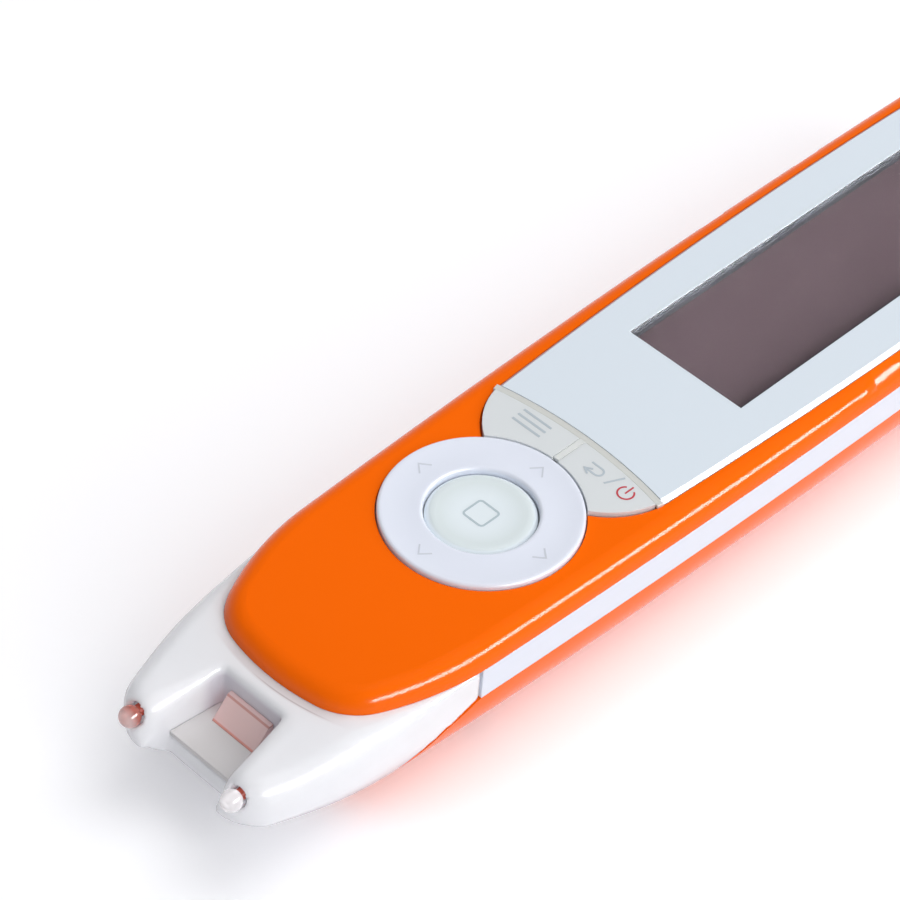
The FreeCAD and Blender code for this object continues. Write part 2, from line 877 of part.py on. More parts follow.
def bottom_cover():
    """Orange boat-shaped shell: screw columns, battery ribs, spring stop, speaker seat and grille."""
    hull = body_hull(0)
    keep = box(nose_x, tail_x + 1, -2 * body_half_width, 2 * body_half_width, -1, split_low)
    hull = hull.common(keep)
    shell = hull.cut(body_hollow())
    additions = []
    for x, y in screw_places():
        additions.append(post(x, y, 0, board_low - seat_gap, column_radius).common(body_hull(root)))
    rib_top = shell_wall + battery_rib_height
    for share in battery_rib_shares:
        x = battery_x + battery_length * share
        rib = box(x - battery_rib_width / 2, x + battery_rib_width / 2, -battery_half_width(),
                  battery_half_width(), 0, rib_top)
        additions.append(rib.common(body_hull(shell_wall / 2)))
    seat = tube(speaker_x, 0, shell_wall / 2, speaker_seat_height, speaker_radius - speaker_rim,
                speaker_radius)
    additions.append(seat)
    _, _, stop_x = yoke_places()
    additions.append(box(stop_x, stop_x + post_thickness, -post_half_width, post_half_width,
                         keel_level(stop_x) + root, tip_height + post_rise))
    shell = fuse([shell] + additions)
    for x, y in screw_places():
        shell = shell.cut(post(x, y, -1, board_top, screw_radius + screw_fit))
        shell = shell.cut(post(x, y, -1, screw_seat_height, screw_head_radius + column_fit))
    for slot in grille_slots():
        shell = shell.cut(slot)
    shell = shell.cut(rod(tail_x - socket_hole_reach, tail_x + 1, 0, jack_height,
                          jack_collar_radius + socket_hole_gap))
    return shell.cut(belly_edge(-seat_gap))


def gap_outline(margin):
    """Plan corners of the gap between the prongs, grown by a margin, with a flared mouth."""
    back = gap_back_x + margin
    mouth = nose_x + gap_mouth_radius
    narrow = gap_back_half_width + margin
    wide = gap_mouth_half_width + margin
    side = [(back, narrow), (mouth, wide)]
    steps = 4
    for i in range(1, steps + 1):
        angle = math.pi / 2 * i / steps
        side.append((mouth - gap_mouth_radius * math.sin(angle),
                     wide + gap_mouth_radius * (1 - math.cos(angle))))
    side.append((nose_x - past, side[-1][1]))
    return side + [(x, -y) for x, y in reversed(side)]


def nose_gap(margin):
    """Space between the prongs: down to the floor, and right through ahead of the floor."""
    outline = gap_outline(margin)
    upper = upright(outline, gap_floor - margin, ring_top)
    through = upright(outline, -1, ring_top)
    ahead = box(nose_x - past - 1, gap_floor_x + margin, -body_half_width, body_half_width, -2,
                ring_top + 1)
    return upper.fuse(through.common(ahead))


def window_opening():
    """Way through the gap's back wall for the wedge-shaped window's light."""
    side = window_side - window_margin
    low = gap_floor + guide_thickness
    return box(gap_back_x - root, gap_back_x + nose_wall + root, -side, side, low + window_margin,
               low + window_rise)


def nose_housing():
    """Clear shell of the nose with two hollow prongs, open at the back."""
    shell = nose_hull(0, seam_x, nose_skin_spans, False).common(belly_edge(0))
    bed = cover_prism(-seat_gap, 0, ring_top).common(roof_profile(0, 0))
    hollow = nose_hull(nose_wall, seam_x + 1, nose_hollow_spans, True).cut(nose_gap(nose_wall))
    shell = shell.cut(bed).cut(hollow).cut(nose_gap(0)).cut(window_opening())
    socket_x = nose_x + foot_set + foot_radius + trigger_travel + play
    for side in (1, -1):
        y = side * tip_half_width
        shell = shell.cut(rod(nose_x - 2, gap_back_x, y, tip_height, arm_radius + arm_fit))
        shell = shell.cut(rod(nose_x - 2, socket_x, y, tip_height, foot_radius + foot_fit))
    return shell


def display_panel():
    """White front plate with a bevelled edge, the display's opening and a bowed front."""
    plate = deck_prism(panel_gap, panel_low, panel_top)
    rim = [edge for edge in plate.Edges if edge.BoundBox.ZMin > panel_top - hair]
    plate = plate.makeChamfer(panel_chamfer, rim)
    plate = plate.cut(groove_cylinder(groove_radius, 0, ring_top))
    window = box(window_x, window_x + window_length, -window_half_width, window_half_width, 0, ring_top)
    return plate.cut(window)


def display_window():
    """Clear pane that fills the panel's opening."""
    gap = window_gap
    return box(window_x + gap, window_x + window_length - gap, -window_half_width + gap,
               window_half_width - gap, panel_top - window_thickness, panel_top)


def display_gasket():
    """Black frame: a flange under the panel, and a collar that carries the pane."""
    end = window_x + window_length
    collar_top = panel_top - window_thickness - seat_gap
    flange = box(window_x - gasket_flange, end + gasket_flange, -window_half_width - gasket_flange,
                 window_half_width + gasket_flange, display_top + seat_gap, panel_low - seat_gap)
    gap = window_gap
    collar = box(window_x + gap, end - gap, -window_half_width + gap, window_half_width - gap,
                 display_top + seat_gap, collar_top)
    border = gasket_border
    view = box(window_x + border, end - border, -window_half_width + border,
               window_half_width - border, 0, ring_top)
    return fuse([flange, collar]).cut(view)


def display_module():
    """Flat display under the gasket."""
    return box(window_x - gasket_flange, window_x + window_length + gasket_flange,
               -window_half_width - gasket_flange, window_half_width + gasket_flange,
               display_low, display_top)


def display_carrier():
    """Frame on the board that holds the display up, with two cross ribs."""
    x0 = window_x - gasket_flange
    x1 = window_x + window_length + gasket_flange
    half = window_half_width + gasket_flange
    low = board_top + seat_gap
    top = display_low - seat_gap
    frame = box(x0, x1, -half, half, low, top)
    frame = frame.cut(box(x0 + carrier_wall, x1 - carrier_wall, -half + carrier_wall,
                          half - carrier_wall, 0, ring_top))
    ribs = [frame]
    reach = carrier_rib_width / 2
    for share in (1 / 3, 2 / 3):
        x = x0 + (x1 - x0) * share
        ribs.append(box(x - reach, x + reach, -half + root, half - root, top - carrier_rib_height, top))
    return fuse(ribs)


def display_flex():
    """Ribbon that leaves the display's front end and folds down to the board."""
    high = display_low + flex_rise
    low = board_top + seat_gap
    bend = (high - low) / 2
    middle = (high + low) / 2
    edge_x = window_x - gasket_flange - seat_gap
    bend_x = edge_x - flex_lead
    outer = rod_across(bend_x, middle, bend)
    inner = rod_across(bend_x, middle, bend - flex_thickness)
    ring = outer.cut(inner)
    half = flex_width / 2
    ring = ring.common(box(bend_x - flex_width, bend_x, -half, half, 0, ring_top))
    upper = box(bend_x, edge_x, -half, half, high - flex_thickness, high)
    lower = box(bend_x, edge_x, -half, half, low, low + flex_thickness)
    return fuse([ring, upper, lower])


def rod_across(x, z, radius):
    """Cylinder that lies across the pen, as wide as the flex."""
    return Part.makeCylinder(radius, flex_width, Vector(x, -flex_width / 2, z), Vector(0, 1, 0))


def key_frame():
    """Plate under the keys, with the rib that shows in the bowed groove and between the keys."""
    reach = deck_prism(key_frame_gap, key_frame_low, key_frame_top)
    plate = reach.common(groove_cylinder(groove_radius + key_frame_reach, 0, ring_top))
    rib_top = key_low + key_thickness * key_frame_rib_share
    rib = deck_prism(deck_ledge + key_frame_gap, key_frame_low, rib_top)
    rib = rib.common(groove_cylinder(groove_radius - key_frame_gap, 0, ring_top))
    rib = rib.cut(groove_cylinder(groove_radius - groove_width + key_frame_gap, 0, ring_top))
    hole_radius = ring_flange_radius + key_frame_ring_gap
    divider = box(ring_x + hole_radius, ring_x + groove_to_ring - groove_width / 2, -divider_width / 2,
                  divider_width / 2, key_frame_low, rib_top)
    frame = fuse([plate, rib, divider])
    frame = frame.cut(post(ring_x, 0, 0, ring_top, hole_radius))
    for side in (1, -1):
        frame = frame.cut(post(ring_x + key_stem_reach, side * key_stem_side, 0, ring_top,
                               key_stem_radius + key_stem_gap))
    return frame


def key_cap(side):
    """Key between the ring and the groove, on one side of the middle, with its stem."""
    cap = deck_prism(key_gap, key_low, panel_top)
    cap = cap.common(groove_cylinder(groove_radius - groove_width, 0, ring_top))
    cap = cap.cut(post(ring_x, 0, 0, ring_top + 1, ring_radius + key_gap))
    wide = 2 * body_half_width
    half = box(ring_x, ring_x + wide, key_split / 2, wide, 0, ring_top)
    if side < 0:
        half = mirrored(half)
    stem = post(ring_x + key_stem_reach, side * key_stem_side, press_level, key_low + root,
                key_stem_radius)
    return fuse([cap.common(half), stem])


def menu_key():
    """Translucent key on the far side."""
    return key_cap(1)


def power_key():
    """Translucent key on the near side."""
    return key_cap(-1)


def revolved(points, x):
    """Solid of revolution about an upright axis, from points given as radius and height."""
    corners = [Vector(x + radius, 0, height) for radius, height in points]
    face = Part.Face(Part.makePolygon(corners + corners[:1]))
    return face.revolve(Vector(x, 0, 0), Vector(0, 0, 1), 360)


def rocker_places():
    """Plan places of the four pushers under the ring, ahead, behind and at both sides."""
    reach = rocker_radius
    return [(ring_x + reach, 0.0), (ring_x, reach), (ring_x - reach, 0.0), (ring_x, -reach)]


def nav_ring():
    """White ring with a dished top, a skirt, a retaining flange and four pushers."""
    top = ring_top
    under = top - ring_thickness
    flange_top = cover_roof - flange_rise - play
    flange_low = flange_top - ring_flange_thickness
    inner = ring_radius - ring_skirt
    middle = (ring_radius + ring_hole_radius) / 2
    ring = revolved([
        (ring_hole_radius, under), (ring_hole_radius, top - ring_inner_edge),
        (ring_hole_radius + ring_inner_edge, top - ring_dish / 4), (middle, top - ring_dish),
        (ring_radius - ring_outer_edge, top), (ring_radius, top - ring_outer_edge),
        (ring_radius, flange_top), (ring_flange_radius, flange_top),
        (ring_flange_radius, flange_low), (inner, flange_low), (inner, under),
    ], ring_x)
    pushers = []
    for x, y in rocker_places():
        pushers.append(block(x, y, pad_top() + press_clearance, under + root, pusher_side))
    return fuse([ring] + pushers)


def pad_top():
    """Upper face of the pad under the ring."""
    return press_level + nub_height + pad_thickness


def nav_pad():
    """Rubber ring between the navigation ring and its four switches."""
    disc = tube(ring_x, 0, pad_top() - pad_thickness, pad_top(), pad_inner_radius, pad_outer_radius)
    nubs = []
    for x, y in rocker_places():
        nubs.append(block(x, y, press_level, pad_top() - pad_thickness / 2, pusher_side))
    return fuse([disc] + nubs)


def ok_button():
    """Translucent round button with a dished face, a retaining flange and a stem."""
    top = ring_top - ok_sink
    low = ring_top - ring_thickness
    flange_top = low - ok_flange_radius * math.sin(corner_tilt) - play
    flange_low = flange_top - ok_flange_thickness
    return revolved([
        (0, press_level), (ok_stem_radius, press_level), (ok_stem_radius, flange_low),
        (ok_flange_radius, flange_low), (ok_flange_radius, flange_top), (ok_radius, flange_top),
        (ok_radius, top - ok_edge_drop), (ok_flat_radius, top), (ok_flat_radius / 2, top - ok_dish * 3 / 4),
        (0, top - ok_dish),
    ], ring_x)


def switch_places():
    """Plan places of the key switches: four under the ring, one in its middle, one under each key."""
    places = [(ring_x, 0.0)] + rocker_places()
    for side in (1, -1):
        places.append((ring_x + key_stem_reach, side * key_stem_side))
    return places


def key_switches():
    """Small push switches on the board."""
    switches = []
    low = board_top + seat_gap
    for x, y in switch_places():
        body = block(x, y, low, low + switch_height, switch_side)
        plunger = block(x, y, low + switch_height - root, switch_top, switch_plunger)
        switches.append(fuse([body, plunger]))
    return Part.makeCompound(switches)


def main_board():
    """Circuit board between the two covers, cut away at the front for the spring's stop."""
    board = body_prism(board_inset, board_front_x, board_low, board_top)
    for x, y in screw_places():
        board = board.cut(post(x, y, 0, ring_top, screw_radius + board_hole_gap))
    _, _, stop_x = yoke_places()
    notch_y = post_half_width + post_gap
    notch = box(board_front_x - 1, stop_x + post_thickness + post_gap / 2, -notch_y, notch_y, 0, ring_top)
    return board.cut(notch)


def board_chips():
    """Row of square chips on the board under the display, the largest nearest the keys."""
    chips = []
    low = board_top + seat_gap
    x = window_x + chips_to_window
    free = window_length - chips_to_window - chips_to_end - sum(chip_lengths)
    for length in chip_lengths:
        chips.append(box(x, x + length, -length / 2, length / 2, low, low + chip_height))
        x += length + free / (len(chip_lengths) - 1)
    return Part.makeCompound(chips)


def case_screws():
    """Four screws from below, through the columns and the board into the top cover."""
    screws = []
    for x, y in screw_places():
        head = post(x, y, screw_seat_height - screw_head_height, screw_seat_height - seat_gap,
                    screw_head_radius)
        shank = post(x, y, screw_seat_height - root, cover_roof - screw_end, screw_radius)
        slot = box(x - screw_slot_reach, x + screw_slot_reach, y - screw_slot_width / 2,
                   y + screw_slot_width / 2, 0, screw_seat_height - screw_head_height + screw_slot_depth)
        screws.append(fuse([head, shank]).cut(slot))
    return Part.makeCompound(screws)


def battery():
    """Flat cell with rounded long edges and its protection strip at the tail end."""
    x1 = battery_x + battery_length
    half = battery_half_width()
    low = battery_low()
    cell = box(battery_x, x1 - battery_strip, -half, half, low, low + battery_thickness)
    edges = [edge for edge in cell.Edges if edge.BoundBox.XLength > battery_length / 2]
    cell = cell.makeFillet(battery_corner, edges)
    inset = battery_strip_inset
    strip = box(x1 - battery_strip - root, x1, -half + inset, half - inset, low + inset,
                low + battery_thickness - inset)
    return fuse([cell, strip])


def battery_pad():
    """Foam strip between the battery and the ribs."""
    x0 = battery_x + battery_pad_setback
    x1 = battery_x + battery_length - battery_strip - battery_pad_setback
    half = battery_half_width() - battery_corner
    low = shell_wall + battery_rib_height + seat_gap
    return box(x0, x1, -half, half, low, low + battery_pad_thickness)


def speaker():
    """Round speaker, face down, with its magnet on top."""
    low = speaker_seat_height + speaker_gasket_thickness + 2 * seat_gap
    top = low + speaker_height - speaker_magnet_height
    basket = post(speaker_x, 0, low, top, speaker_radius)
    magnet = post(speaker_x, 0, top - root, low + speaker_height, speaker_magnet_radius)
    cone = Part.makeCone(speaker_radius - speaker_cone_rim, speaker_cone_base, speaker_cone_depth,
                         Vector(speaker_x, 0, low - hair))
    return fuse([basket, magnet]).cut(cone)


def speaker_gasket():
    """Foam ring between the speaker and its seat."""
    low = speaker_seat_height + seat_gap
    return tube(speaker_x, 0, low, low + speaker_gasket_thickness,
                speaker_radius - speaker_rim + speaker_gasket_gap, speaker_radius - speaker_gasket_gap)


def floor_reach(height):
    """Place along the pen where the hollow's floor, which slopes up at the tail, reaches a height."""
    return tail_x - shell_wall - (tail_corner - height) * (math.sqrt(2) - 1)


def audio_jack():
    """Headphone socket: a body under the board and a collar in the bottom cover's tail."""
    mouth = tail_x - jack_set
    back = mouth - jack_depth - jack_back_wall
    half = jack_body_width / 2
    low = jack_height - jack_body_height / 2
    front = min(tail_x - case_wall - lip_depth, floor_reach(low)) - jack_band_gap
    body = box(back, front, -half, half, low, low + jack_body_height)
    collar = rod(front - root, mouth, 0, jack_height, jack_collar_radius)
    bore = rod(mouth - jack_depth, tail_x + 1, 0, jack_height, jack_radius)
    return fuse([body, collar]).cut(bore)


def usb_socket():
    """Flat charging socket on the board with its tongue inside."""
    low = board_top + seat_gap
    front = tail_x - case_wall + usb_set
    back = front - usb_depth
    half = usb_width / 2
    shell = box(back, front, -half, half, low, low + usb_height)
    corners = [edge for edge in shell.Edges if edge.BoundBox.XLength > usb_depth / 2]
    shell = shell.makeFillet(usb_corner, corners)
    inner = box(back + usb_wall, front + 1, -half + usb_wall, half - usb_wall, low + usb_wall,
                low + usb_height - usb_wall)
    inner_corners = [edge for edge in inner.Edges if edge.BoundBox.XLength > usb_depth / 2]
    shell = shell.cut(inner.makeFillet(usb_corner - usb_wall, inner_corners))
    middle = low + usb_height / 2
    reach = half - usb_tongue_inset
    tongue = box(back + usb_wall / 2, front - 2 * usb_wall, -reach, reach, middle,
                 middle + usb_tongue_thickness)
    return fuse([shell, tongue])


def optics_span():
    """Front and back of the optics housing along the pen."""
    front = gap_back_x + nose_wall + optics_gap
    return front, front + optics_length


def optics_housing():
    """Dark tunnel from the scan window to the sensor, with a shelf for the lens barrel."""
    front, back = optics_span()
    wall = optics_wall
    half = optics_half_width
    shell = box(front, back, -half, half, optics_low, optics_high)
    tunnel = box(front - 1, back - barrel_length + 1, -half + wall, half - wall, optics_low + wall,
                 optics_high - wall)
    bore = rod(front, back + 1, 0, lens_axis(), lens_radius + barrel_wall + barrel_fit)
    return shell.cut(tunnel).cut(bore)


def lens_axis():
    """Height of the optical axis."""
    return (optics_low + optics_high) / 2


def lens_barrel():
    """Tube that holds the lens, stepped down behind it."""
    _, back = optics_span()
    start = back - barrel_length
    outer = rod(start, back, 0, lens_axis(), lens_radius + barrel_wall)
    seat = rod(start - 1, start + lens_thickness + lens_seat_room, 0, lens_axis(), lens_radius)
    light = rod(start, back + 1, 0, lens_axis(), lens_radius - lens_ledge)
    return outer.cut(seat).cut(light)


def camera_lens():
    """Glass lens, bowed on both faces."""
    _, back = optics_span()
    middle = back - barrel_length + lens_set
    bow = lens_thickness / 2
    rim = lens_radius - seat_gap
    shoulder_share = 0.6
    half = [Vector(middle - bow, 0, 0),
            Vector(middle - (bow + lens_edge) * shoulder_share, 0, rim * shoulder_share),
            Vector(middle - lens_edge, 0, rim)]
    corners = half + [Vector(2 * middle - point.x, 0, point.z) for point in reversed(half)]
    return turned([line(first, second) for first, second in zip(corners, corners[1:] + corners[:1])],
                  0, lens_axis())


def turned(edges, y, z):
    """Solid turned about an axis along the pen, from edges in the XZ plane above that axis."""
    face = Part.Face(Part.Wire(edges))
    solid = face.revolve(Vector(0, 0, 0), Vector(1, 0, 0), 360)
    solid.translate(Vector(0, y, z))
    return solid


def sensor_board():
    """Small upright board behind the optics housing."""
    _, back = optics_span()
    start = back + optics_gap + sensor_thickness
    half = optics_half_width - sensor_board_margin
    return box(start, start + sensor_board_thickness, -half, half, optics_low + sensor_board_margin,
               optics_high - sensor_board_margin)


def image_sensor():
    """Camera chip on the sensor board, behind the lens."""
    _, back = optics_span()
    start = back + optics_gap
    half = sensor_side / 2
    return box(start, start + sensor_thickness - seat_gap, -half, half, lens_axis() - half,
               lens_axis() + half)


def lamp_board():
    """Strip board under the roof of the optics housing."""
    front, _ = optics_span()
    top = optics_high - optics_wall - seat_gap
    start = front + lamp_board_set
    return box(start, start + lamp_board_length, -lamp_board_width / 2, lamp_board_width / 2,
               top - lamp_board_thickness, top)


def scan_lamps():
    """Two lamps on the strip board that light the print."""
    front, _ = optics_span()
    top = optics_high - optics_wall - 2 * seat_gap - lamp_board_thickness
    start = front + lamp_board_set + (lamp_board_length - lamp_length) / 2
    lamps = [box(start, start + lamp_length, y - lamp_width / 2, y + lamp_width / 2, top - lamp_height, top)
             for y in (-lamp_side, lamp_side)]
    return Part.makeCompound(lamps)


def scan_window():
    """Clear wedge at the back of the gap, sloped towards the print."""
    low = gap_floor + guide_thickness + 2 * seat_gap
    back = gap_back_x - seat_gap
    top = low + window_rise
    return across([(back - window_base, low), (back, low), (back, top), (back - window_crest, top)],
                  window_side)


def guide_plate():
    """Plate on the floor between the prongs, with a straight front edge."""
    low = gap_floor + seat_gap
    slope = (gap_mouth_half_width - gap_back_half_width) / (gap_back_x - nose_x - gap_mouth_radius)
    back = gap_back_x - seat_gap
    front = gap_floor_x
    narrow = gap_back_half_width - guide_gap
    wide = narrow + slope * (back - front)
    corners = [(back, narrow), (front, wide), (front, -wide), (back, -narrow)]
    return upright(corners, low, low + guide_thickness)


def yoke_places():
    """Places of the trigger's cross bar and its stop post along the pen."""
    _, optics_back = optics_span()
    bar_front = optics_back + yoke_to_optics
    bar_back = bar_front + yoke_thickness
    return bar_front, bar_back, bar_back + spring_length


def trigger_yoke():
    """Sliding yoke: two arms through the prongs, a cross bar behind the optics and a switch finger."""
    bar_front, bar_back, _ = yoke_places()
    low = tip_height - yoke_height / 2
    top = tip_height + yoke_height / 2
    reach = tip_half_width + yoke_end
    pieces = [box(bar_front, bar_back, -reach, reach, low, top)]
    for side in (1, -1):
        pieces.append(rod(nose_x + foot_set + foot_neck() + seat_gap, bar_back - root, side * tip_half_width,
                          tip_height, arm_radius))
    switch_x, switch_y = trigger_switch_place()
    pieces.append(box(bar_front, switch_x - trigger_travel - finger_gap, switch_y - finger_width / 2,
                      switch_y + finger_width / 2, top - 2 * root, board_top + finger_rise))
    return fuse(pieces)


def foot_neck():
    """Distance from a foot tip's centre to its flat back, where the arm meets it."""
    return foot_radius * foot_neck_share


def foot_tip(side):
    """Clear bead on the end of an arm, which rests on the page, with a flat back."""
    neck = foot_neck()
    rim = math.sqrt(foot_radius ** 2 - neck ** 2)
    bead = turned([
        Part.Arc(Vector(-foot_radius, 0, 0), Vector(0, 0, foot_radius), Vector(neck, 0, rim)).toShape(),
        line(Vector(neck, 0, rim), Vector(neck, 0, 0)),
        line(Vector(neck, 0, 0), Vector(-foot_radius, 0, 0)),
    ], side * tip_half_width, tip_height)
    bead.translate(Vector(nose_x + foot_set, 0, 0))
    return bead


def left_foot_tip():
    """Foot tip on the far side."""
    return foot_tip(1)


def right_foot_tip():
    """Foot tip on the near side."""
    return foot_tip(-1)


def trigger_spring():
    """Leaf spring bent to a V, open towards the stop, that pushes the yoke forward."""
    _, bar_back, stop = yoke_places()
    front = bar_back + seat_gap
    back = stop - seat_gap
    upper = tip_height + spring_rise
    lower = tip_height - spring_rise
    return across([
        (back, upper), (front, tip_height + spring_strip), (front, tip_height - spring_strip),
        (back, lower), (back, lower + spring_slant), (front + spring_crotch, tip_height),
        (back, upper - spring_slant),
    ], spring_width / 2)


def trigger_switch_place():
    """Front face and side of the switch that the yoke's finger presses."""
    return board_front_x + trigger_switch_set, trigger_switch_side


def trigger_switch():
    """Push switch on the front edge of the board, plunger forward."""
    x, y = trigger_switch_place()
    low = board_top + seat_gap
    body = box(x, x + trigger_switch_length, y - trigger_switch_width / 2, y + trigger_switch_width / 2,
               low, low + trigger_switch_height)
    plunger = rod(x - trigger_plunger_out, x + root, y, low + trigger_switch_height / 2,
                  trigger_plunger_radius)
    return fuse([body, plunger])


makers = [
    top_cover, bottom_cover, side_band, nose_housing, display_panel, display_window, display_gasket,
    display_module, display_carrier, display_flex, key_frame, menu_key, power_key, nav_ring, nav_pad,
    ok_button, key_switches, main_board, board_chips, case_screws, battery, battery_pad, speaker,
    speaker_gasket, audio_jack, usb_socket, optics_housing, lens_barrel, camera_lens, sensor_board,
    image_sensor, lamp_board, scan_lamps, scan_window, guide_plate, trigger_yoke, left_foot_tip,
    right_foot_tip, trigger_spring, trigger_switch,
]

os.makedirs("parts", exist_ok=True)
for maker in makers:
    shape = maker()
    print(maker.__name__, "solids", len(shape.Solids), "valid", shape.isValid(),
          "volume %.1f" % shape.Volume)
    shape.exportStep("parts/%s.step" % maker.__name__)
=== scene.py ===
import bpy
import math
import numpy as np
from mathutils import Matrix, Vector


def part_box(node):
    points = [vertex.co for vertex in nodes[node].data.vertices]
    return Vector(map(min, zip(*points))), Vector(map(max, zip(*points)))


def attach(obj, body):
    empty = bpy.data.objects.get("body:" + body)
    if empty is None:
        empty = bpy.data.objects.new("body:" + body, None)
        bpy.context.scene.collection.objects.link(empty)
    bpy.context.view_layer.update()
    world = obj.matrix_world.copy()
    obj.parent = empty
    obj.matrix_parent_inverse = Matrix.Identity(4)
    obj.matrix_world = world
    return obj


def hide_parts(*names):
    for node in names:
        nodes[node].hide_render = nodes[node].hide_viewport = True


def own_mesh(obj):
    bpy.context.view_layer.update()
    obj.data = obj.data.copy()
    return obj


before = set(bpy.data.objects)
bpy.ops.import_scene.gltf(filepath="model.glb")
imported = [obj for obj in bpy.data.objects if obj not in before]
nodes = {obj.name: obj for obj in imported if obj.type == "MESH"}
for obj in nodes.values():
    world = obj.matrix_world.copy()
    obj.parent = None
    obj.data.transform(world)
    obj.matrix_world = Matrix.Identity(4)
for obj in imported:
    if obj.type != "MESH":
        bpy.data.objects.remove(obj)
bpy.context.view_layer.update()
mm = 0.001

# Camera: the pen is seen from above its near side, from beyond the nose, through a long lens turned a
# few degrees about its own axis. All places are measured from the centre of the ring's top.
ring_low, ring_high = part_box("nav_ring")
ring_centre = Vector(((ring_low.x + ring_high.x) / 2, 0.0, ring_high.z))
focal_px = 3626.0
frame_px = 900.0
sensor_mm = 36.0
camera_height = math.radians(44.62)
camera_heading = math.radians(48.34)
camera_roll = math.radians(4.30)
camera_away = 395.35 * mm
camera_right = -3.92 * mm
camera_up = 6.19 * mm

level_right = Vector((math.cos(camera_heading), -math.sin(camera_heading), 0.0))
level_ahead = Vector((math.sin(camera_heading), math.cos(camera_heading), 0.0))
view_ahead = level_ahead * math.cos(camera_height) - Vector((0, 0, math.sin(camera_height)))
view_up = level_ahead * math.sin(camera_height) + Vector((0, 0, math.cos(camera_height)))
turned_right = level_right * math.cos(camera_roll) + view_up * math.sin(camera_roll)
turned_up = view_up * math.cos(camera_roll) - level_right * math.sin(camera_roll)
camera_place = ring_centre + level_right * camera_right + view_up * camera_up - view_ahead * camera_away

camera_data = bpy.data.cameras.new("photo_camera")
camera_data.sensor_width = sensor_mm
camera_data.lens = focal_px / frame_px * sensor_mm
camera_data.clip_start = 0.01
camera_data.clip_end = 20.0
camera = bpy.data.objects.new("photo_camera", camera_data)
camera.matrix_world = Matrix((
    (turned_right.x, turned_up.x, -view_ahead.x, camera_place.x),
    (turned_right.y, turned_up.y, -view_ahead.y, camera_place.y),
    (turned_right.z, turned_up.z, -view_ahead.z, camera_place.z),
    (0.0, 0.0, 0.0, 1.0),
))
bpy.context.scene.collection.objects.link(camera)
bpy.context.scene.camera = camera
bpy.context.scene.view_settings.view_transform = "Standard"


def link(tree, source, target):
    """Joins two sockets of a node tree."""
    tree.links.new(source, target)


def mixed(tree, share, first, second):
    """Shader that goes from the first to the second as the share socket goes from 0 to 1."""
    node = tree.nodes.new("ShaderNodeMixShader")
    link(tree, share, node.inputs[0])
    link(tree, first, node.inputs[1])
    link(tree, second, node.inputs[2])
    return node.outputs[0]


# Studio: a white tent, brighter at the pen's tail, plain white where it is seen directly and dimmer
# overhead in gloss. A soft key lamp over the tail and a broad one low on the near side light it, and a
# long strip beside the pen shows in gloss only.
tent_at_nose = 0.21
tent_at_tail = 0.65
gloss_overhead = 0.08
gloss_sides = 0.9
gloss_turn = 0.6
tent_seen = 1.0
tent_colour = (0.98, 0.985, 1.0, 1.0)
lamp_long_way = Vector((1, 0, 0))
lamps = (  # name, direction from the ring, distance, length, width, watts, rays that miss the lamp
    ("key_lamp", (0.42, -0.13, 0.90), 0.62, 0.50, 0.50, 1.9, "visible_glossy"),
    ("side_lamp", (-0.10, -0.85, 0.50), 1.20, 1.00, 1.00, 7.0, "visible_glossy"),
    ("strip_lamp", (0.25, -0.78, 0.50), 0.62, 0.90, 0.14, 16.0, "visible_diffuse"),
)

world = bpy.data.worlds.new("tent")
bpy.context.scene.world = world
world.use_nodes = True
tree = world.node_tree
tree.nodes.clear()


def tent_light(strength):
    """Even light of the tent at one strength."""
    node = tree.nodes.new("ShaderNodeBackground")
    node.inputs["Color"].default_value = tent_colour
    node.inputs["Strength"].default_value = strength
    return node


def math_node(tree, operation, first, second):
    """Math node on a socket and a second socket or a number."""
    node = tree.nodes.new("ShaderNodeMath")
    node.operation = operation
    link(tree, first, node.inputs[0])
    if isinstance(second, float):
        node.inputs[1].default_value = second
    else:
        link(tree, second, node.inputs[1])
    return node.outputs[0]


def ranged(tree, value, low, high, start=0.0, end=1.0):
    """Number that goes from start to end as a value goes from low to high, and is held beyond both."""
    node = tree.nodes.new("ShaderNodeMapRange")
    node.inputs["From Min"].default_value = low
    node.inputs["From Max"].default_value = high
    node.inputs["To Min"].default_value = start
    node.inputs["To Max"].default_value = end
    link(tree, value, node.inputs["Value"])
    return node.outputs["Result"]


def ray_shares(tree):
    """Two shares of a light ray: 1 for what the camera sees, bare or through clear pieces, and 1 for
    what is mirrored in gloss, also behind clear pieces. Both are 0 for light on a dull surface. The
    depths count bounces, so that a half parts none from some."""
    some = 0.5
    ray = tree.nodes.new("ShaderNodeLightPath")
    no_dull = math_node(tree, "LESS_THAN", ray.outputs["Diffuse Depth"], some)
    no_gloss = math_node(tree, "LESS_THAN", ray.outputs["Glossy Depth"], some)
    through = math_node(tree, "MULTIPLY", ray.outputs["Is Transmission Ray"], no_dull)
    through = math_node(tree, "MULTIPLY", through, no_gloss)
    direct = math_node(tree, "MAXIMUM", ray.outputs["Is Camera Ray"], through)
    after_gloss = math_node(tree, "GREATER_THAN", ray.outputs["Glossy Depth"], some)
    return direct, math_node(tree, "MULTIPLY", after_gloss, no_dull)


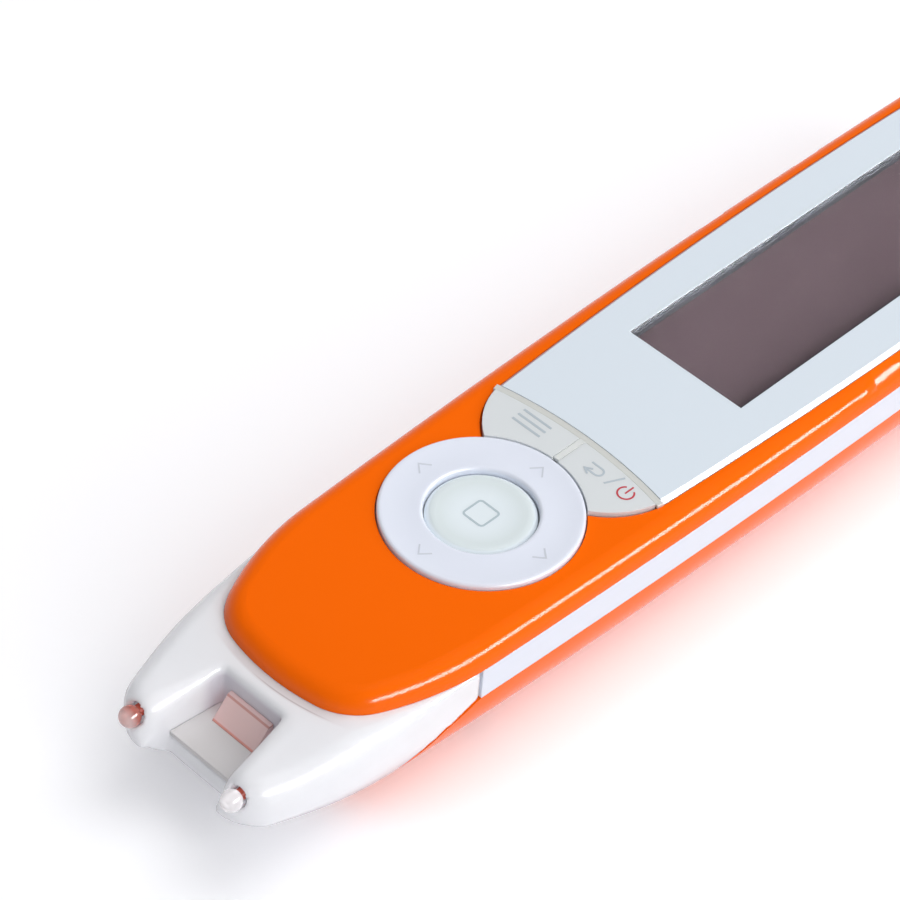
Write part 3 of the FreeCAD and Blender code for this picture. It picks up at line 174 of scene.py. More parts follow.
world_out = tree.nodes.new("ShaderNodeOutputWorld")
heading = tree.nodes.new("ShaderNodeTexCoord")
height = tree.nodes.new("ShaderNodeSeparateXYZ")
link(tree, heading.outputs["Generated"], height.inputs[0])
dimming = ranged(tree, height.outputs["Z"], 0.0, gloss_turn, gloss_sides, gloss_overhead)
in_gloss = tent_light(gloss_sides)
link(tree, dimming, in_gloss.inputs["Strength"])
grading = ranged(tree, height.outputs["X"], -1.0, 1.0, tent_at_nose, tent_at_tail)
on_dull = tent_light(tent_at_tail)
link(tree, grading, on_dull.inputs["Strength"])
direct, mirrored = ray_shares(tree)
around = mixed(tree, mirrored, on_dull.outputs[0], in_gloss.outputs[0])
link(tree, mixed(tree, direct, around, tent_light(tent_seen).outputs[0]), world_out.inputs["Surface"])

for name, side, away, length, width, watts, missed_by in lamps:
    lamp_data = bpy.data.lights.new(name, "AREA")
    lamp_data.shape = "RECTANGLE"
    lamp_data.size = length
    lamp_data.size_y = width
    lamp_data.energy = watts
    lamp = bpy.data.objects.new(name, lamp_data)
    from_pen = Vector(side).normalized()
    upper = from_pen.cross(lamp_long_way).normalized()
    turned = Matrix((upper.cross(from_pen), upper, from_pen)).transposed()
    lamp.matrix_world = Matrix.Translation(ring_centre + from_pen * away) @ turned.to_4x4()
    lamp.visible_transmission = False
    setattr(lamp, missed_by, False)
    bpy.context.scene.collection.objects.link(lamp)

# Table top: a plain pale sheet that keeps the pen's shadow and is seen as white away from it. Its glow
# grows from beside the pen to where the lamps no longer reach.
floor_reach = 1.5
floor_drop = 0.00002
floor_glow = 0.165
far_glow = 0.62
glow_near = 0.13
glow_far = 0.55
floor_colour = (0.93, 0.93, 0.955, 1)

floor_mesh = bpy.data.meshes.new("floor")
floor_mesh.from_pydata(
    [(x, y, -floor_drop) for x, y in ((-floor_reach, -floor_reach), (floor_reach, -floor_reach),
                                      (floor_reach, floor_reach), (-floor_reach, floor_reach))],
    [], [(0, 1, 2, 3)])
floor = bpy.data.objects.new("floor", floor_mesh)
bpy.context.scene.collection.objects.link(floor)
floor_look = bpy.data.materials.new("table_top")
floor_look.use_nodes = True
tree = floor_look.node_tree
tree.nodes.clear()
floor_out = tree.nodes.new("ShaderNodeOutputMaterial")
matt = tree.nodes.new("ShaderNodeBsdfDiffuse")
matt.inputs["Color"].default_value = floor_colour
glow = tree.nodes.new("ShaderNodeEmission")
glow.inputs["Color"].default_value = (1, 1, 1, 1)
floor_place = tree.nodes.new("ShaderNodeTexCoord")
from_middle = tree.nodes.new("ShaderNodeVectorMath")
from_middle.operation = "LENGTH"
link(tree, floor_place.outputs["Object"], from_middle.inputs[0])
growing = ranged(tree, from_middle.outputs["Value"], glow_near, glow_far, floor_glow, far_glow)
growing.node.interpolation_type = "SMOOTHSTEP"
direct, mirrored = ray_shares(tree)
seen = math_node(tree, "MAXIMUM", direct, mirrored)
link(tree, math_node(tree, "MULTIPLY", seen, growing), glow.inputs["Strength"])
both = tree.nodes.new("ShaderNodeAddShader")
link(tree, matt.outputs[0], both.inputs[0])
link(tree, glow.outputs[0], both.inputs[1])
link(tree, both.outputs[0], floor_out.inputs["Surface"])
floor_mesh.materials.append(floor_look)


# Bottom cover: the boat-shaped lower shell, injection moulded in glossy orange ABS. The band stands on
# its rim, and four screws from below hold it to the top cover.
plastic_index = 1.5
milk_depth = 1.0 * mm
cloud_thin, cloud_thick = 0.3, 0.7
cloud_detail, grain_detail = 4.0, 3.0
wear_per_mottle = 10
most_wear = 0.25
grain_scale = 1800.0


def moulded(name, colour, rough, mottle=0.02, grain=0.0015, edge=0.12, clear=0.0, milky=0.0, shine=0.5,
            lets=None, clouds=140.0):
    """Moulded plastic. One soft noise clouds colour and roughness, a fine one gives the skin its grain,
    and edges catch light as if rounded by the edge radius in millimetres. Shadow rays pass a clear
    piece with the colour that it lets through."""
    look = bpy.data.materials.new(name)
    look.use_nodes = True
    tree = look.node_tree
    tree.nodes.clear()
    out = tree.nodes.new("ShaderNodeOutputMaterial")
    skin = tree.nodes.new("ShaderNodeBsdfPrincipled")
    skin.name = "skin"
    skin.inputs["IOR"].default_value = plastic_index
    skin.inputs["Specular IOR Level"].default_value = shine
    skin.inputs["Transmission Weight"].default_value = clear
    if milky:
        skin.inputs["Subsurface Weight"].default_value = milky
        skin.inputs["Subsurface Radius"].default_value = (1.0, 1.0, 1.0)
        skin.inputs["Subsurface Scale"].default_value = milk_depth
    place = tree.nodes.new("ShaderNodeTexCoord")
    place.name = "place"
    cloud = tree.nodes.new("ShaderNodeTexNoise")
    cloud.inputs["Scale"].default_value = clouds
    cloud.inputs["Detail"].default_value = cloud_detail
    link(tree, place.outputs["Object"], cloud.inputs["Vector"])
    tint = tree.nodes.new("ShaderNodeMix")
    tint.data_type = "RGBA"
    tint.inputs["A"].default_value = [c * (1 - mottle) for c in colour] + [1]
    tint.inputs["B"].default_value = [min(c * (1 + mottle), 1.0) for c in colour] + [1]
    link(tree, cloud.outputs["Fac"], tint.inputs["Factor"])
    link(tree, tint.outputs["Result"], skin.inputs["Base Color"])
    wear = min(wear_per_mottle * mottle, most_wear)
    worn = ranged(tree, cloud.outputs["Fac"], cloud_thin, cloud_thick,
                  rough * (1 - wear), rough * (1 + wear))
    link(tree, worn, skin.inputs["Roughness"])
    flow = tree.nodes.new("ShaderNodeTexNoise")
    flow.inputs["Scale"].default_value = grain_scale
    flow.inputs["Detail"].default_value = grain_detail
    link(tree, place.outputs["Object"], flow.inputs["Vector"])
    bump = tree.nodes.new("ShaderNodeBump")
    bump.name = "bump"
    bump.inputs["Strength"].default_value = 1.0
    bump.inputs["Distance"].default_value = grain * mm
    link(tree, flow.outputs["Fac"], bump.inputs["Height"])
    if edge:
        soften = tree.nodes.new("ShaderNodeBevel")
        soften.samples = 4
        soften.inputs["Radius"].default_value = edge * mm
        link(tree, soften.outputs["Normal"], bump.inputs["Normal"])
    link(tree, bump.outputs["Normal"], skin.inputs["Normal"])
    shown = skin.outputs[0]
    if lets:
        ray = tree.nodes.new("ShaderNodeLightPath")
        way = tree.nodes.new("ShaderNodeBsdfTransparent")
        way.inputs["Color"].default_value = (*lets, 1)
        shown = mixed(tree, ray.outputs["Is Shadow Ray"], shown, way.outputs[0])
    link(tree, shown, out.inputs["Surface"])
    return look


def dress(look, *names):
    """Gives CAD nodes a material."""
    for name in names:
        for holder in nodes[name].material_slots:
            holder.material = look


orange_gloss = moulded("orange_gloss", (0.98, 0.142, 0.001), 0.12, mottle=0.01, shine=0.16, grain=0.0006)
dress(orange_gloss, "bottom_cover")

# Side band: one white ABS frame round both sides and the tail, clamped between the two covers.
dress(moulded("white_gloss", (0.745, 0.79, 0.88), 0.2, shine=0.4, mottle=0.003, clouds=300.0),
      "side_band")


# Case screws: four small pan-head screws of nickel-plated steel, driven from below.
mark_shade = 0.86
mark_wear = 0.4
mark_detail = 4.0
mark_depth = 0.004 * mm


def metal(name, colour, rough, stretch=(1.0, 1.0, 14.0), scale=900.0):
    """Bare or plated metal. Noise stretched by different scales along the axes gives the drawn or
    turned marks in colour, roughness and relief."""
    look = bpy.data.materials.new(name)
    look.use_nodes = True
    tree = look.node_tree
    tree.nodes.clear()
    out = tree.nodes.new("ShaderNodeOutputMaterial")
    skin = tree.nodes.new("ShaderNodeBsdfPrincipled")
    skin.name = "skin"
    skin.inputs["Metallic"].default_value = 1.0
    place = tree.nodes.new("ShaderNodeTexCoord")
    place.name = "place"
    turn = tree.nodes.new("ShaderNodeMapping")
    turn.inputs["Scale"].default_value = stretch
    link(tree, place.outputs["Object"], turn.inputs["Vector"])
    marks = tree.nodes.new("ShaderNodeTexNoise")
    marks.inputs["Scale"].default_value = scale
    marks.inputs["Detail"].default_value = mark_detail
    link(tree, turn.outputs["Vector"], marks.inputs["Vector"])
    tint = tree.nodes.new("ShaderNodeMix")
    tint.data_type = "RGBA"
    tint.inputs["A"].default_value = [c * mark_shade for c in colour] + [1]
    tint.inputs["B"].default_value = [*colour, 1]
    link(tree, marks.outputs["Fac"], tint.inputs["Factor"])
    link(tree, tint.outputs["Result"], skin.inputs["Base Color"])
    worn = ranged(tree, marks.outputs["Fac"], 0.0, 1.0, rough * (1 - mark_wear), rough * (1 + mark_wear))
    link(tree, worn, skin.inputs["Roughness"])
    bump = tree.nodes.new("ShaderNodeBump")
    bump.inputs["Distance"].default_value = mark_depth
    link(tree, marks.outputs["Fac"], bump.inputs["Height"])
    link(tree, bump.outputs["Normal"], skin.inputs["Normal"])
    link(tree, skin.outputs[0], out.inputs["Surface"])
    return look


dress(metal("nickel_plate", (0.70, 0.69, 0.66), 0.3), "case_screws")

# Speaker: a black coated steel basket with its magnet on top, face down over the grille.
dress(moulded("black_basket", (0.022, 0.022, 0.025), 0.35, mottle=0.2, grain=0.006), "speaker")


# Speaker gasket and battery pad: rings and strips die-cut from black closed-cell foam.
def overlay(look, share, colour):
    """Lays a second colour over a finish, as far as the share socket says."""
    tree = look.node_tree
    skin = tree.nodes["skin"]
    lay = tree.nodes.new("ShaderNodeMix")
    lay.data_type = "RGBA"
    lay.inputs["B"].default_value = (*colour, 1)
    link(tree, share, lay.inputs["Factor"])
    link(tree, skin.inputs["Base Color"].links[0].from_socket, lay.inputs["A"])
    link(tree, lay.outputs["Result"], skin.inputs["Base Color"])


def pored(name, colour, scale, depth, rims=1.6):
    """Foam. Each cell of a Voronoi pattern is a pit sunk by the depth in millimetres, with painted shade
    in its middle and a painted lighter rim."""
    look = moulded(name, colour, 0.9, mottle=0.1, edge=0.0, shine=0.2)
    tree = look.node_tree
    cells = tree.nodes.new("ShaderNodeTexVoronoi")
    cells.inputs["Scale"].default_value = scale
    link(tree, tree.nodes["place"].outputs["Object"], cells.inputs["Vector"])
    bump = tree.nodes["bump"]
    bump.inputs["Distance"].default_value = depth * mm
    link(tree, cells.outputs["Distance"], bump.inputs["Height"])
    overlay(look, cells.outputs["Distance"], [c * rims for c in colour])
    return look


dress(pored("cell_foam", (0.03, 0.03, 0.033), 2200.0, 0.05), "speaker_gasket", "battery_pad")

# Battery: a flat lithium pouch in crinkled aluminium foil, with its protection strip at the tail end.
battery_foil = metal("pouch_foil", (0.62, 0.63, 0.66), 0.35, stretch=(1.0, 1.0, 1.0), scale=260.0)
battery_foil.node_tree.nodes["skin"].inputs["Specular IOR Level"].default_value = 0.4
dress(battery_foil, "battery")


# Circuit boards: glass-fibre board under green solder mask, with copper runs and tinned pads.
run_scale, pad_scale = 420.0, 700.0
run_outer, run_inner = 0.05, 0.03
pad_outer, pad_inner = 0.16, 0.12
pad_scatter = 0.6


def masked_board(name):
    """Solder mask. Lines along the edges of large Voronoi cells are the runs, which show lighter, and
    dots in the middle of small ones are the tinned pads."""
    look = moulded(name, (0.012, 0.115, 0.038), 0.35, mottle=0.08)
    tree = look.node_tree
    place = tree.nodes["place"].outputs["Object"]
    runs = tree.nodes.new("ShaderNodeTexVoronoi")
    runs.feature = "DISTANCE_TO_EDGE"
    runs.inputs["Scale"].default_value = run_scale
    link(tree, place, runs.inputs["Vector"])
    overlay(look, ranged(tree, runs.outputs["Distance"], run_outer, run_inner), (0.04, 0.22, 0.07))
    pads = tree.nodes.new("ShaderNodeTexVoronoi")
    pads.inputs["Scale"].default_value = pad_scale
    pads.inputs["Randomness"].default_value = pad_scatter
    link(tree, place, pads.inputs["Vector"])
    overlay(look, ranged(tree, pads.outputs["Distance"], pad_outer, pad_inner), (0.62, 0.60, 0.55))
    return look


dress(masked_board("green_mask"), "main_board", "sensor_board", "lamp_board")

# Chips and sensor: black epoxy packages soldered to the boards.
dress(moulded("chip_epoxy", (0.028, 0.028, 0.03), 0.5, mottle=0.15, grain=0.012), "board_chips",
      "image_sensor")

# Switches and sockets: pressed steel shells with a dull tin finish, and a black moulded headphone socket.
dress(metal("tin_plate", (0.62, 0.62, 0.63), 0.38, stretch=(1.0, 8.0, 1.0)), "key_switches",
      "trigger_switch", "usb_socket")
dress(moulded("socket_black", (0.02, 0.02, 0.022), 0.4, mottle=0.2, grain=0.01), "audio_jack")

# Display carrier: a black glass-filled frame on the board that holds the display up.
dress(moulded("carrier_black", (0.02, 0.02, 0.023), 0.5, mottle=0.25, grain=0.01), "display_carrier")


# Display flex: an amber polyimide ribbon with copper tracks, folded down to the board.
def tracked_film(name, scale=420.0):
    """Film with parallel tracks along the pen: bands of a sine wave across it, darker between."""
    look = moulded(name, (0.42, 0.17, 0.02), 0.3, mottle=0.06, edge=0.0)
    tree = look.node_tree
    tracks = tree.nodes.new("ShaderNodeTexWave")
    tracks.bands_direction = "Y"
    tracks.inputs["Scale"].default_value = scale
    link(tree, tree.nodes["place"].outputs["Object"], tracks.inputs["Vector"])
    overlay(look, tracks.outputs["Fac"], (0.60, 0.30, 0.07))
    return look


dress(tracked_film("amber_ribbon"), "display_flex")

# Display: a flat module under a grey-brown polariser, off, framed by a black rubber gasket.
dress(moulded("display_face", (0.100, 0.071, 0.081), 0.2, mottle=0.03, grain=0.0, edge=0.0),
      "display_module")
dress(moulded("gasket_rubber", (0.040, 0.043, 0.055), 0.55, mottle=0.12, grain=0.01), "display_gasket")

# Front panel: a satin white plate with a bevelled rim, glued into the deck of the top cover. Its bevel is
# painted darker than the face, as painted shade.
panel_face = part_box("display_panel")[1].z
panel_bevel = 0.5 * mm
bevel_end = 0.08 * mm
bevel_soft = 0.04 * mm


def within(tree, value, low, high, soft):
    """Share that is 1 where a value lies between low and high and falls to 0 over the soft margin."""
    above = ranged(tree, value, low - soft, low)
    below = ranged(tree, value, high + soft, high)
    return math_node(tree, "MULTIPLY", above, below)


def axes(look):
    """The finish's three Object coordinates."""
    tree = look.node_tree
    split = tree.nodes.new("ShaderNodeSeparateXYZ")
    link(tree, tree.nodes["place"].outputs["Object"], split.inputs[0])
    return split.outputs


panel_white = moulded("panel_satin", (0.715, 0.785, 0.855), 0.24, mottle=0.003, grain=0.0008, shine=0.4,
                      clouds=300.0)
# Painted shade: the bevel's band of heights is coloured darker than the face.
bevel_painted_shade = within(panel_white.node_tree, axes(panel_white)["Z"], panel_face - panel_bevel,
                  panel_face - bevel_end, bevel_soft)
overlay(panel_white, bevel_painted_shade, (0.50, 0.53, 0.60))
dress(panel_white, "display_panel")

# Display window: a clear acrylic pane, flush in the panel's opening.
dress(moulded("pane_clear", (1.0, 1.0, 1.0), 0.03, mottle=0.0, grain=0.0, edge=0.0, clear=1.0,
              lets=(0.96, 0.96, 0.96)), "display_window")

# Optics: a grey moulded tunnel with two lamps under its roof, and a black lens barrel behind them.
dress(moulded("tunnel_grey", (0.55, 0.55, 0.60), 0.5, grain=0.008), "optics_housing")
dress(metal("barrel_black", (0.05, 0.05, 0.055), 0.4, stretch=(14.0, 1.0, 1.0)), "lens_barrel")
dress(moulded("lens_glass", (0.93, 0.96, 1.0), 0.02, mottle=0.01, grain=0.0002, edge=0.0, clear=1.0,
              lets=(0.9, 0.93, 0.95)), "camera_lens")
dress(moulded("lamp_lens", (0.88, 0.82, 0.55), 0.25, mottle=0.06, clear=0.3), "scan_lamps")

# Guide plate: a pale plate on the floor of the gap between the prongs, over the line of print.
dress(moulded("guide_grey", (0.62, 0.60, 0.60), 0.35, mottle=0.015), "guide_plate")

# Scan window: a clear wedge at the back of the gap. Its red filter shows pink inside it, and red along
# its front foot and its crest.
wedge_low, wedge_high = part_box("scan_window")
foot_high = wedge_low.z + 0.16 * mm
foot_soft = 0.1 * mm
crest_low = wedge_high.z - 0.22 * mm
crest_high = wedge_high.z - 0.06 * mm
crest_soft = 0.05 * mm
wedge_pink = moulded("wedge_pink", (0.92, 0.685, 0.665), 0.1, mottle=0.05, clear=0.15,
                     lets=(0.9, 0.75, 0.75))
tree = wedge_pink.node_tree
wedge_height = axes(wedge_pink)["Z"]
overlay(wedge_pink, within(tree, wedge_height, wedge_low.z, foot_high, foot_soft), (0.88, 0.40, 0.34))
overlay(wedge_pink, within(tree, wedge_height, crest_low, crest_high, crest_soft), (0.74, 0.40, 0.36))
dress(wedge_pink, "scan_window")

# Trigger: a brown sliding yoke whose arms run through the prongs to two clear beads. Pressing the beads
# on the page slides the yoke back. The left bead is painted pinkish, and red at its back, for the red arm
# seen through its clear plastic.
red_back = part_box("left_foot_tip")[1].x
red_depth = 0.8 * mm
red_soft = 0.9 * mm
dress(moulded("yoke_brown", (0.52, 0.095, 0.06), 0.25, mottle=0.08), "trigger_yoke")
dress(moulded("bead_clear", (0.97, 0.955, 0.965), 0.1, mottle=0.02, edge=0.0, clear=0.55,
              lets=(0.9, 0.88, 0.88)), "right_foot_tip")
left_bead_look = moulded("bead_painted_arm", (0.88, 0.76, 0.75), 0.1, mottle=0.02, edge=0.0, clear=0.5,
                   lets=(0.9, 0.88, 0.88))
# Painted view through the bead: its back is painted red for the arm behind it.
painted_arm_share = within(left_bead_look.node_tree, axes(left_bead_look)["X"], red_back - red_depth, red_back, red_soft)
overlay(left_bead_look, painted_arm_share, (0.55, 0.20, 0.16))
dress(left_bead_look, "left_foot_tip")


# Trigger spring: a steel leaf bent to a V, which closes between the yoke and its stop as the yoke
# slides back.
def piece(name, points, faces, look, smooth=True):
    """Object at the origin from points in millimetres."""
    mesh = bpy.data.meshes.new(name)
    corners = [[int(corner) for corner in face] for face in faces]
    mesh.from_pydata((np.asarray(points) * mm).tolist(), [], corners)
    mesh.materials.append(look)
    mesh.polygons.foreach_set("use_smooth", np.full(len(mesh.polygons), smooth))
    made = bpy.data.objects.new(name, mesh)
    bpy.context.scene.collection.objects.link(made)
    return made


spring_low, spring_high = (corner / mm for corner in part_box("trigger_spring"))
leaf_half = 0.12
leaf_bend = 0.3
bend_half_angle = 60
leaf_middle = (spring_low.z + spring_high.z) / 2
leaf_back = spring_high.x - leaf_half
leaf_tip = spring_low.x + leaf_half + leaf_bend
leaf_turn = np.radians(180 + np.linspace(-bend_half_angle, bend_half_angle, 9))
leaf_path = np.concatenate((
    [(leaf_back, spring_high.z - leaf_half)],
    np.column_stack((leaf_tip + leaf_bend * np.cos(leaf_turn),
                     leaf_middle - leaf_bend * np.sin(leaf_turn))),
    [(leaf_back, spring_low.z + leaf_half)],
))
leaf_step = np.gradient(leaf_path, axis=0)
leaf_step /= np.linalg.norm(leaf_step, axis=1)[:, None]
leaf_aside = np.stack((-leaf_step[:, 1], leaf_step[:, 0]), 1) * leaf_half
leaf_outline = np.concatenate((leaf_path + leaf_aside, (leaf_path - leaf_aside)[::-1]))
count = len(leaf_outline)
leaf_points = [(x, y, z) for y in (spring_low.y, spring_high.y) for x, z in leaf_outline]
leaf_faces = [(i, (i + 1) % count, (i + 1) % count + count, i + count) for i in range(count)]
for i in range(count // 2 - 1):
    j = count - 1 - i
    leaf_faces.append((i, j, j - 1, i + 1))
    leaf_faces.append((i + count, i + 1 + count, j - 1 + count, j + count))
spring_steel = metal("spring_steel", (0.58, 0.58, 0.60), 0.25, stretch=(1.0, 1.0, 10.0))
spring = piece("spring_leaf", leaf_points, leaf_faces, spring_steel, smooth=False)
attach(spring, "case")
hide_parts("trigger_spring")
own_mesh(spring)

# Nose: one shell of pearly clear polycarbonate, moulded with two hollow crowned prongs and pushed into
# the front of the covers. It is worked out as a signed distance on a grid, in millimetres, and skinned.
nose_low, nose_high = (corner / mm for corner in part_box("nose_housing"))
nose_front_x, nose_seam_x = nose_low.x, nose_high.x
ring_x = ring_centre.x / mm
nose_step = 0.33
wall = 1.25
side_middle_x = ring_x + 66.8
side_radius = 1700.0
side_half_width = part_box("bottom_cover")[1].y / mm
cheek_centre = (-51.91, -35.77)
cheek_radius = 50.0
cheek_start_x = nose_front_x + 17.5
keel_centre = (ring_x + 12.0, 490.0)
keel_radius = 490.0
snout_centre = (-47.44, 46.15)
snout_radius = 45.0
snout_start_x = ring_x - 23.2
top_under_cover = nose_high.z
top_break_x = ring_x - 30.0
top_run = 9.0
top_drop = 0.6
top_slope = 0.05
crown_start_x = ring_x - 18.0
crown_least = 0.25
crown_growth = 0.2
crown_most = 2.7
belly_height = 11.5
belly_droop = 0.007
keel_share = 0.27
tip_round = 3.3
gap_back_x = ring_x - 34.0
gap_floor_x = nose_front_x + 3.6
gap_floor = 9.4
gap_back_half = 4.55
gap_mouth_half = 5.4
gap_ramp_start = 1.4
gap_edge = (2.2, 1.1, 0.7)
gap_edge_x = (nose_front_x + 3, gap_back_x - 2, gap_back_x)
gap_edge_low = 0.35
gap_edge_rise = 2.2
gap_step_round = 0.4
gap_corner_round = 0.5
gap_foot_round = 0.3
belly_least = 0.5
joint_foot_x = -58.675
joint_bow = 1.6
joint_gap = 0.06
seam_gap = 0.1
prong_y = 7.8
prong_z = 12.6
arm_bore = 0.75
bead_bore = 1.32
bead_bore_depth = 1.0
opening_half = 2.5
opening_low, opening_high = 10.6, 12.0
opening_front, opening_back = -62.5, -59.5


def easy(share):
    """Smooth step: three times the square less twice the cube of a share from 0 to 1."""
    share = np.clip(share, 0, 1)
    return share * share * (3 - 2 * share)


def both_inside(a, b, radius):
    """Distance to the common part of two bodies whose meeting edge is rounded by a radius."""
    return np.minimum(np.maximum(a, b), -radius) + np.hypot(np.maximum(a + radius, 0),
                                                            np.maximum(b + radius, 0))


def either_inside(a, b, radius):
    """Distance to two bodies together, with a fillet of that radius in the corner between them."""
    return -both_inside(-a, -b, radius)


def nose_distance(x, y, z):
    """Outside the nose above 0, inside it below. Each cross-section has a flat keel, quarter-ellipse
    flanks, upright sides and a crowned top. A rounded front, the stepped gap between the prongs, the
    bowed joint to the bottom cover, the hollow and the bores follow as cuts."""
    side = np.abs(y)
    side_arc = side_half_width - side_radius + np.sqrt(side_radius ** 2 - (x - side_middle_x) ** 2)
    cheek_arc = cheek_centre[1] + np.sqrt(np.maximum(cheek_radius ** 2 - (x - cheek_centre[0]) ** 2, 1.0))
    wide = np.where(x < cheek_start_x, cheek_arc, side_arc)
    keel_arc = keel_centre[1] - np.sqrt(keel_radius ** 2 - (x - keel_centre[0]) ** 2)
    snout_arc = snout_centre[1] - np.sqrt(snout_radius ** 2 - (x - snout_centre[0]) ** 2)
    low = np.where(x < snout_start_x, snout_arc, keel_arc)
    run = np.maximum(top_break_x - x, 0)
    top = top_under_cover - top_drop * easy(run / top_run) - top_slope * run
    crown = np.minimum(crown_least + crown_growth * np.maximum(crown_start_x - x, 0), crown_most)
    belly = np.maximum(belly_height - belly_droop * np.maximum(cheek_start_x - x, 0) ** 2,
                       low + belly_least)
    keel = keel_share * wide
    across = np.maximum(side - keel, 0) / (wide - keel)
    down = np.maximum(belly - z, 0) / (belly - low)
    reach = np.hypot(across, down)
    pull = np.hypot(across / (wide - keel), down / (belly - low))
    flank = np.where(pull > 1e-9, (reach - 1) * reach / np.maximum(pull, 1e-9), -(belly - low))
    body = both_inside(flank, z - top, crown)
    body = both_inside(body, nose_front_x - x, tip_round)

    slope = (gap_mouth_half - gap_back_half) / (gap_back_x - nose_front_x - gap_ramp_start)
    prongs = side - gap_back_half - slope * (gap_back_x - x)
    softness = np.interp(x, gap_edge_x, gap_edge)
    softness = gap_edge_low + (softness - gap_edge_low) * easy((z - gap_floor) / gap_edge_rise)
    over_floor = either_inside(gap_floor - z, x - gap_floor_x, gap_step_round)
    gap = both_inside(both_inside(prongs, x - gap_back_x, gap_corner_round), over_floor, gap_foot_round)
    outer = both_inside(body, -gap, softness)

    shell = np.maximum(outer, -(outer + wall))
    joint_low, joint_high = np.array((joint_foot_x, 0.0)), np.array((nose_seam_x, belly_height))
    joint_length = np.hypot(*(joint_high - joint_low))
    along_x, along_z = (joint_high - joint_low) / joint_length
    part_way = ((x - joint_low[0]) * along_x + (z - joint_low[1]) * along_z) / joint_length
    ahead = (z - joint_low[1]) * along_x - (x - joint_low[0]) * along_z
    bow = 4 * joint_bow * part_way * (1 - part_way)
    shell = np.maximum(np.maximum(shell, x - nose_seam_x + seam_gap), joint_gap + bow - ahead)
    from_arm = np.hypot(side - prong_y, z - prong_z)
    from_bead = np.hypot(from_arm, np.maximum(x - nose_front_x - bead_bore_depth, 0))
    shell = np.maximum(shell, bead_bore - from_bead)
    shell = np.maximum(shell, np.minimum(arm_bore - from_arm, gap_back_x - x))
    opening = np.minimum(np.minimum(opening_half - side, z - opening_low), opening_high - z)
    return np.maximum(shell, np.minimum(opening, np.minimum(x - opening_front, opening_back - x)))


def skinned(distance, corner, step):
    """Surface of a distance grid, by surface nets. Each cell that the surface crosses has one vertex, at
    the mean of the crossings on its edges, and each crossed grid edge one face round it."""
    cells = tuple(n - 1 for n in distance.shape)
    total = np.zeros((*cells, 3))
    count = np.zeros(cells)
    corners = []
    for axis in range(3):
        near = np.take(distance, range(cells[axis]), axis)
        far = np.take(distance, range(1, cells[axis] + 1), axis)
        crossed = (near < 0) != (far < 0)
        share = np.where(crossed, near / np.where(crossed, near - far, 1.0), 0.0)
        place = np.moveaxis(np.indices(near.shape, dtype=float), 0, -1)
        place[..., axis] += share
        u, v = (axis + 1) % 3, (axis + 2) % 3
        for du in (0, 1):
            for dv in (0, 1):
                window = [slice(None)] * 3
                window[u] = slice(du, cells[u] + du)
                window[v] = slice(dv, cells[v] + dv)
                hit = crossed[tuple(window)]
                count += hit
                total += place[tuple(window)] * hit[..., None]
        edges = np.argwhere(crossed)
        ring = np.repeat(edges[:, None], 4, 1)
        ring[:, (0, 3), u] -= 1
        ring[:, (0, 1), v] -= 1
        outward = near[tuple(edges.T)] < 0
        ring[~outward] = ring[~outward][:, ::-1]
        corners.append(ring.reshape(-1, 3))
    used = count > 0
    number = np.full(cells, -1)
    number[used] = np.arange(used.sum())
    corners = np.concatenate(corners)
    return total[used] / count[used][:, None] * step + corner, number[tuple(corners.T)].reshape(-1, 4)


grid_margin = 0.6
grid_half_width = 15.5
grid_low, grid_high = 0.9, 16.8
least_steepness = 0.5
nose_corner = np.array((nose_front_x - grid_margin, -grid_half_width, grid_low))
nose_far = np.array((nose_seam_x + grid_margin, grid_half_width, grid_high))
nose_counts = np.ceil((nose_far - nose_corner) / nose_step).astype(int)
grid = [nose_corner[i] + nose_step * np.arange(nose_counts[i]) for i in range(3)]
field = nose_distance(grid[0][:, None, None], grid[1][None, :, None], grid[2][None, None, :])
steepness = np.sqrt(sum(part ** 2 for part in np.gradient(field, nose_step)))
nose_points, nose_faces = skinned(field / np.maximum(steepness, least_steepness), nose_corner, nose_step)

nose_pearl = moulded("nose_pearl", (0.93, 0.935, 0.97), 0.23, mottle=0.008, grain=0.001, edge=0.0,
                     clear=0.12, milky=0.2, lets=(0.5, 0.5, 0.52))
nose = piece("nose_shell", nose_points, nose_faces, nose_pearl)
finish = nose.modifiers.new("even_out", "SMOOTH")
finish.iterations = 4
finish.factor = 0.5
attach(nose, "case")
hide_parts("nose_housing")

# Painted shade on the nose: a faint pinkish grey band ahead of the cover's front edge, painted for the
# cover's shade and its orange reflection and edged by a painted shadow line, and painted shade on the
# back wall of the gap. Each is a product of ranges (value, low, high, soft margin), in millimetres.
rim_middle_x = ring_x - 1.6
rim_radius = 30.9
cover_shade_width = 1.2
shadow_line_half = 0.04
cover_shade_strength, shadow_line_strength, gap_shade_strength = 0.45, 0.5, 0.5
tree = nose_pearl.node_tree
nose_axes = axes(nose_pearl)
shift = tree.nodes.new("ShaderNodeVectorMath")
shift.operation = "SUBTRACT"
shift.inputs[1].default_value = (rim_middle_x * mm, 0.0, 0.0)
link(tree, tree.nodes["place"].outputs["Object"], shift.inputs[0])
flatten = tree.nodes.new("ShaderNodeVectorMath")
flatten.operation = "MULTIPLY"
flatten.inputs[1].default_value = (1.0, 1.0, 0.0)
link(tree, shift.outputs[0], flatten.inputs[0])
rim_distance = tree.nodes.new("ShaderNodeVectorMath")
rim_distance.operation = "LENGTH"
link(tree, flatten.outputs[0], rim_distance.inputs[0])
from_rim = rim_distance.outputs["Value"]


def region(tree, strength, *parts):
    """A strength where all of some values lie in their ranges, and 0 outside."""
    share = within(tree, parts[0][0], *(bound * mm for bound in parts[0][1:]))
    for value, *bounds in parts[1:]:
        share = math_node(tree, "MULTIPLY", share, within(tree, value, *(bound * mm for bound in bounds)))
    return math_node(tree, "MULTIPLY", share, strength)


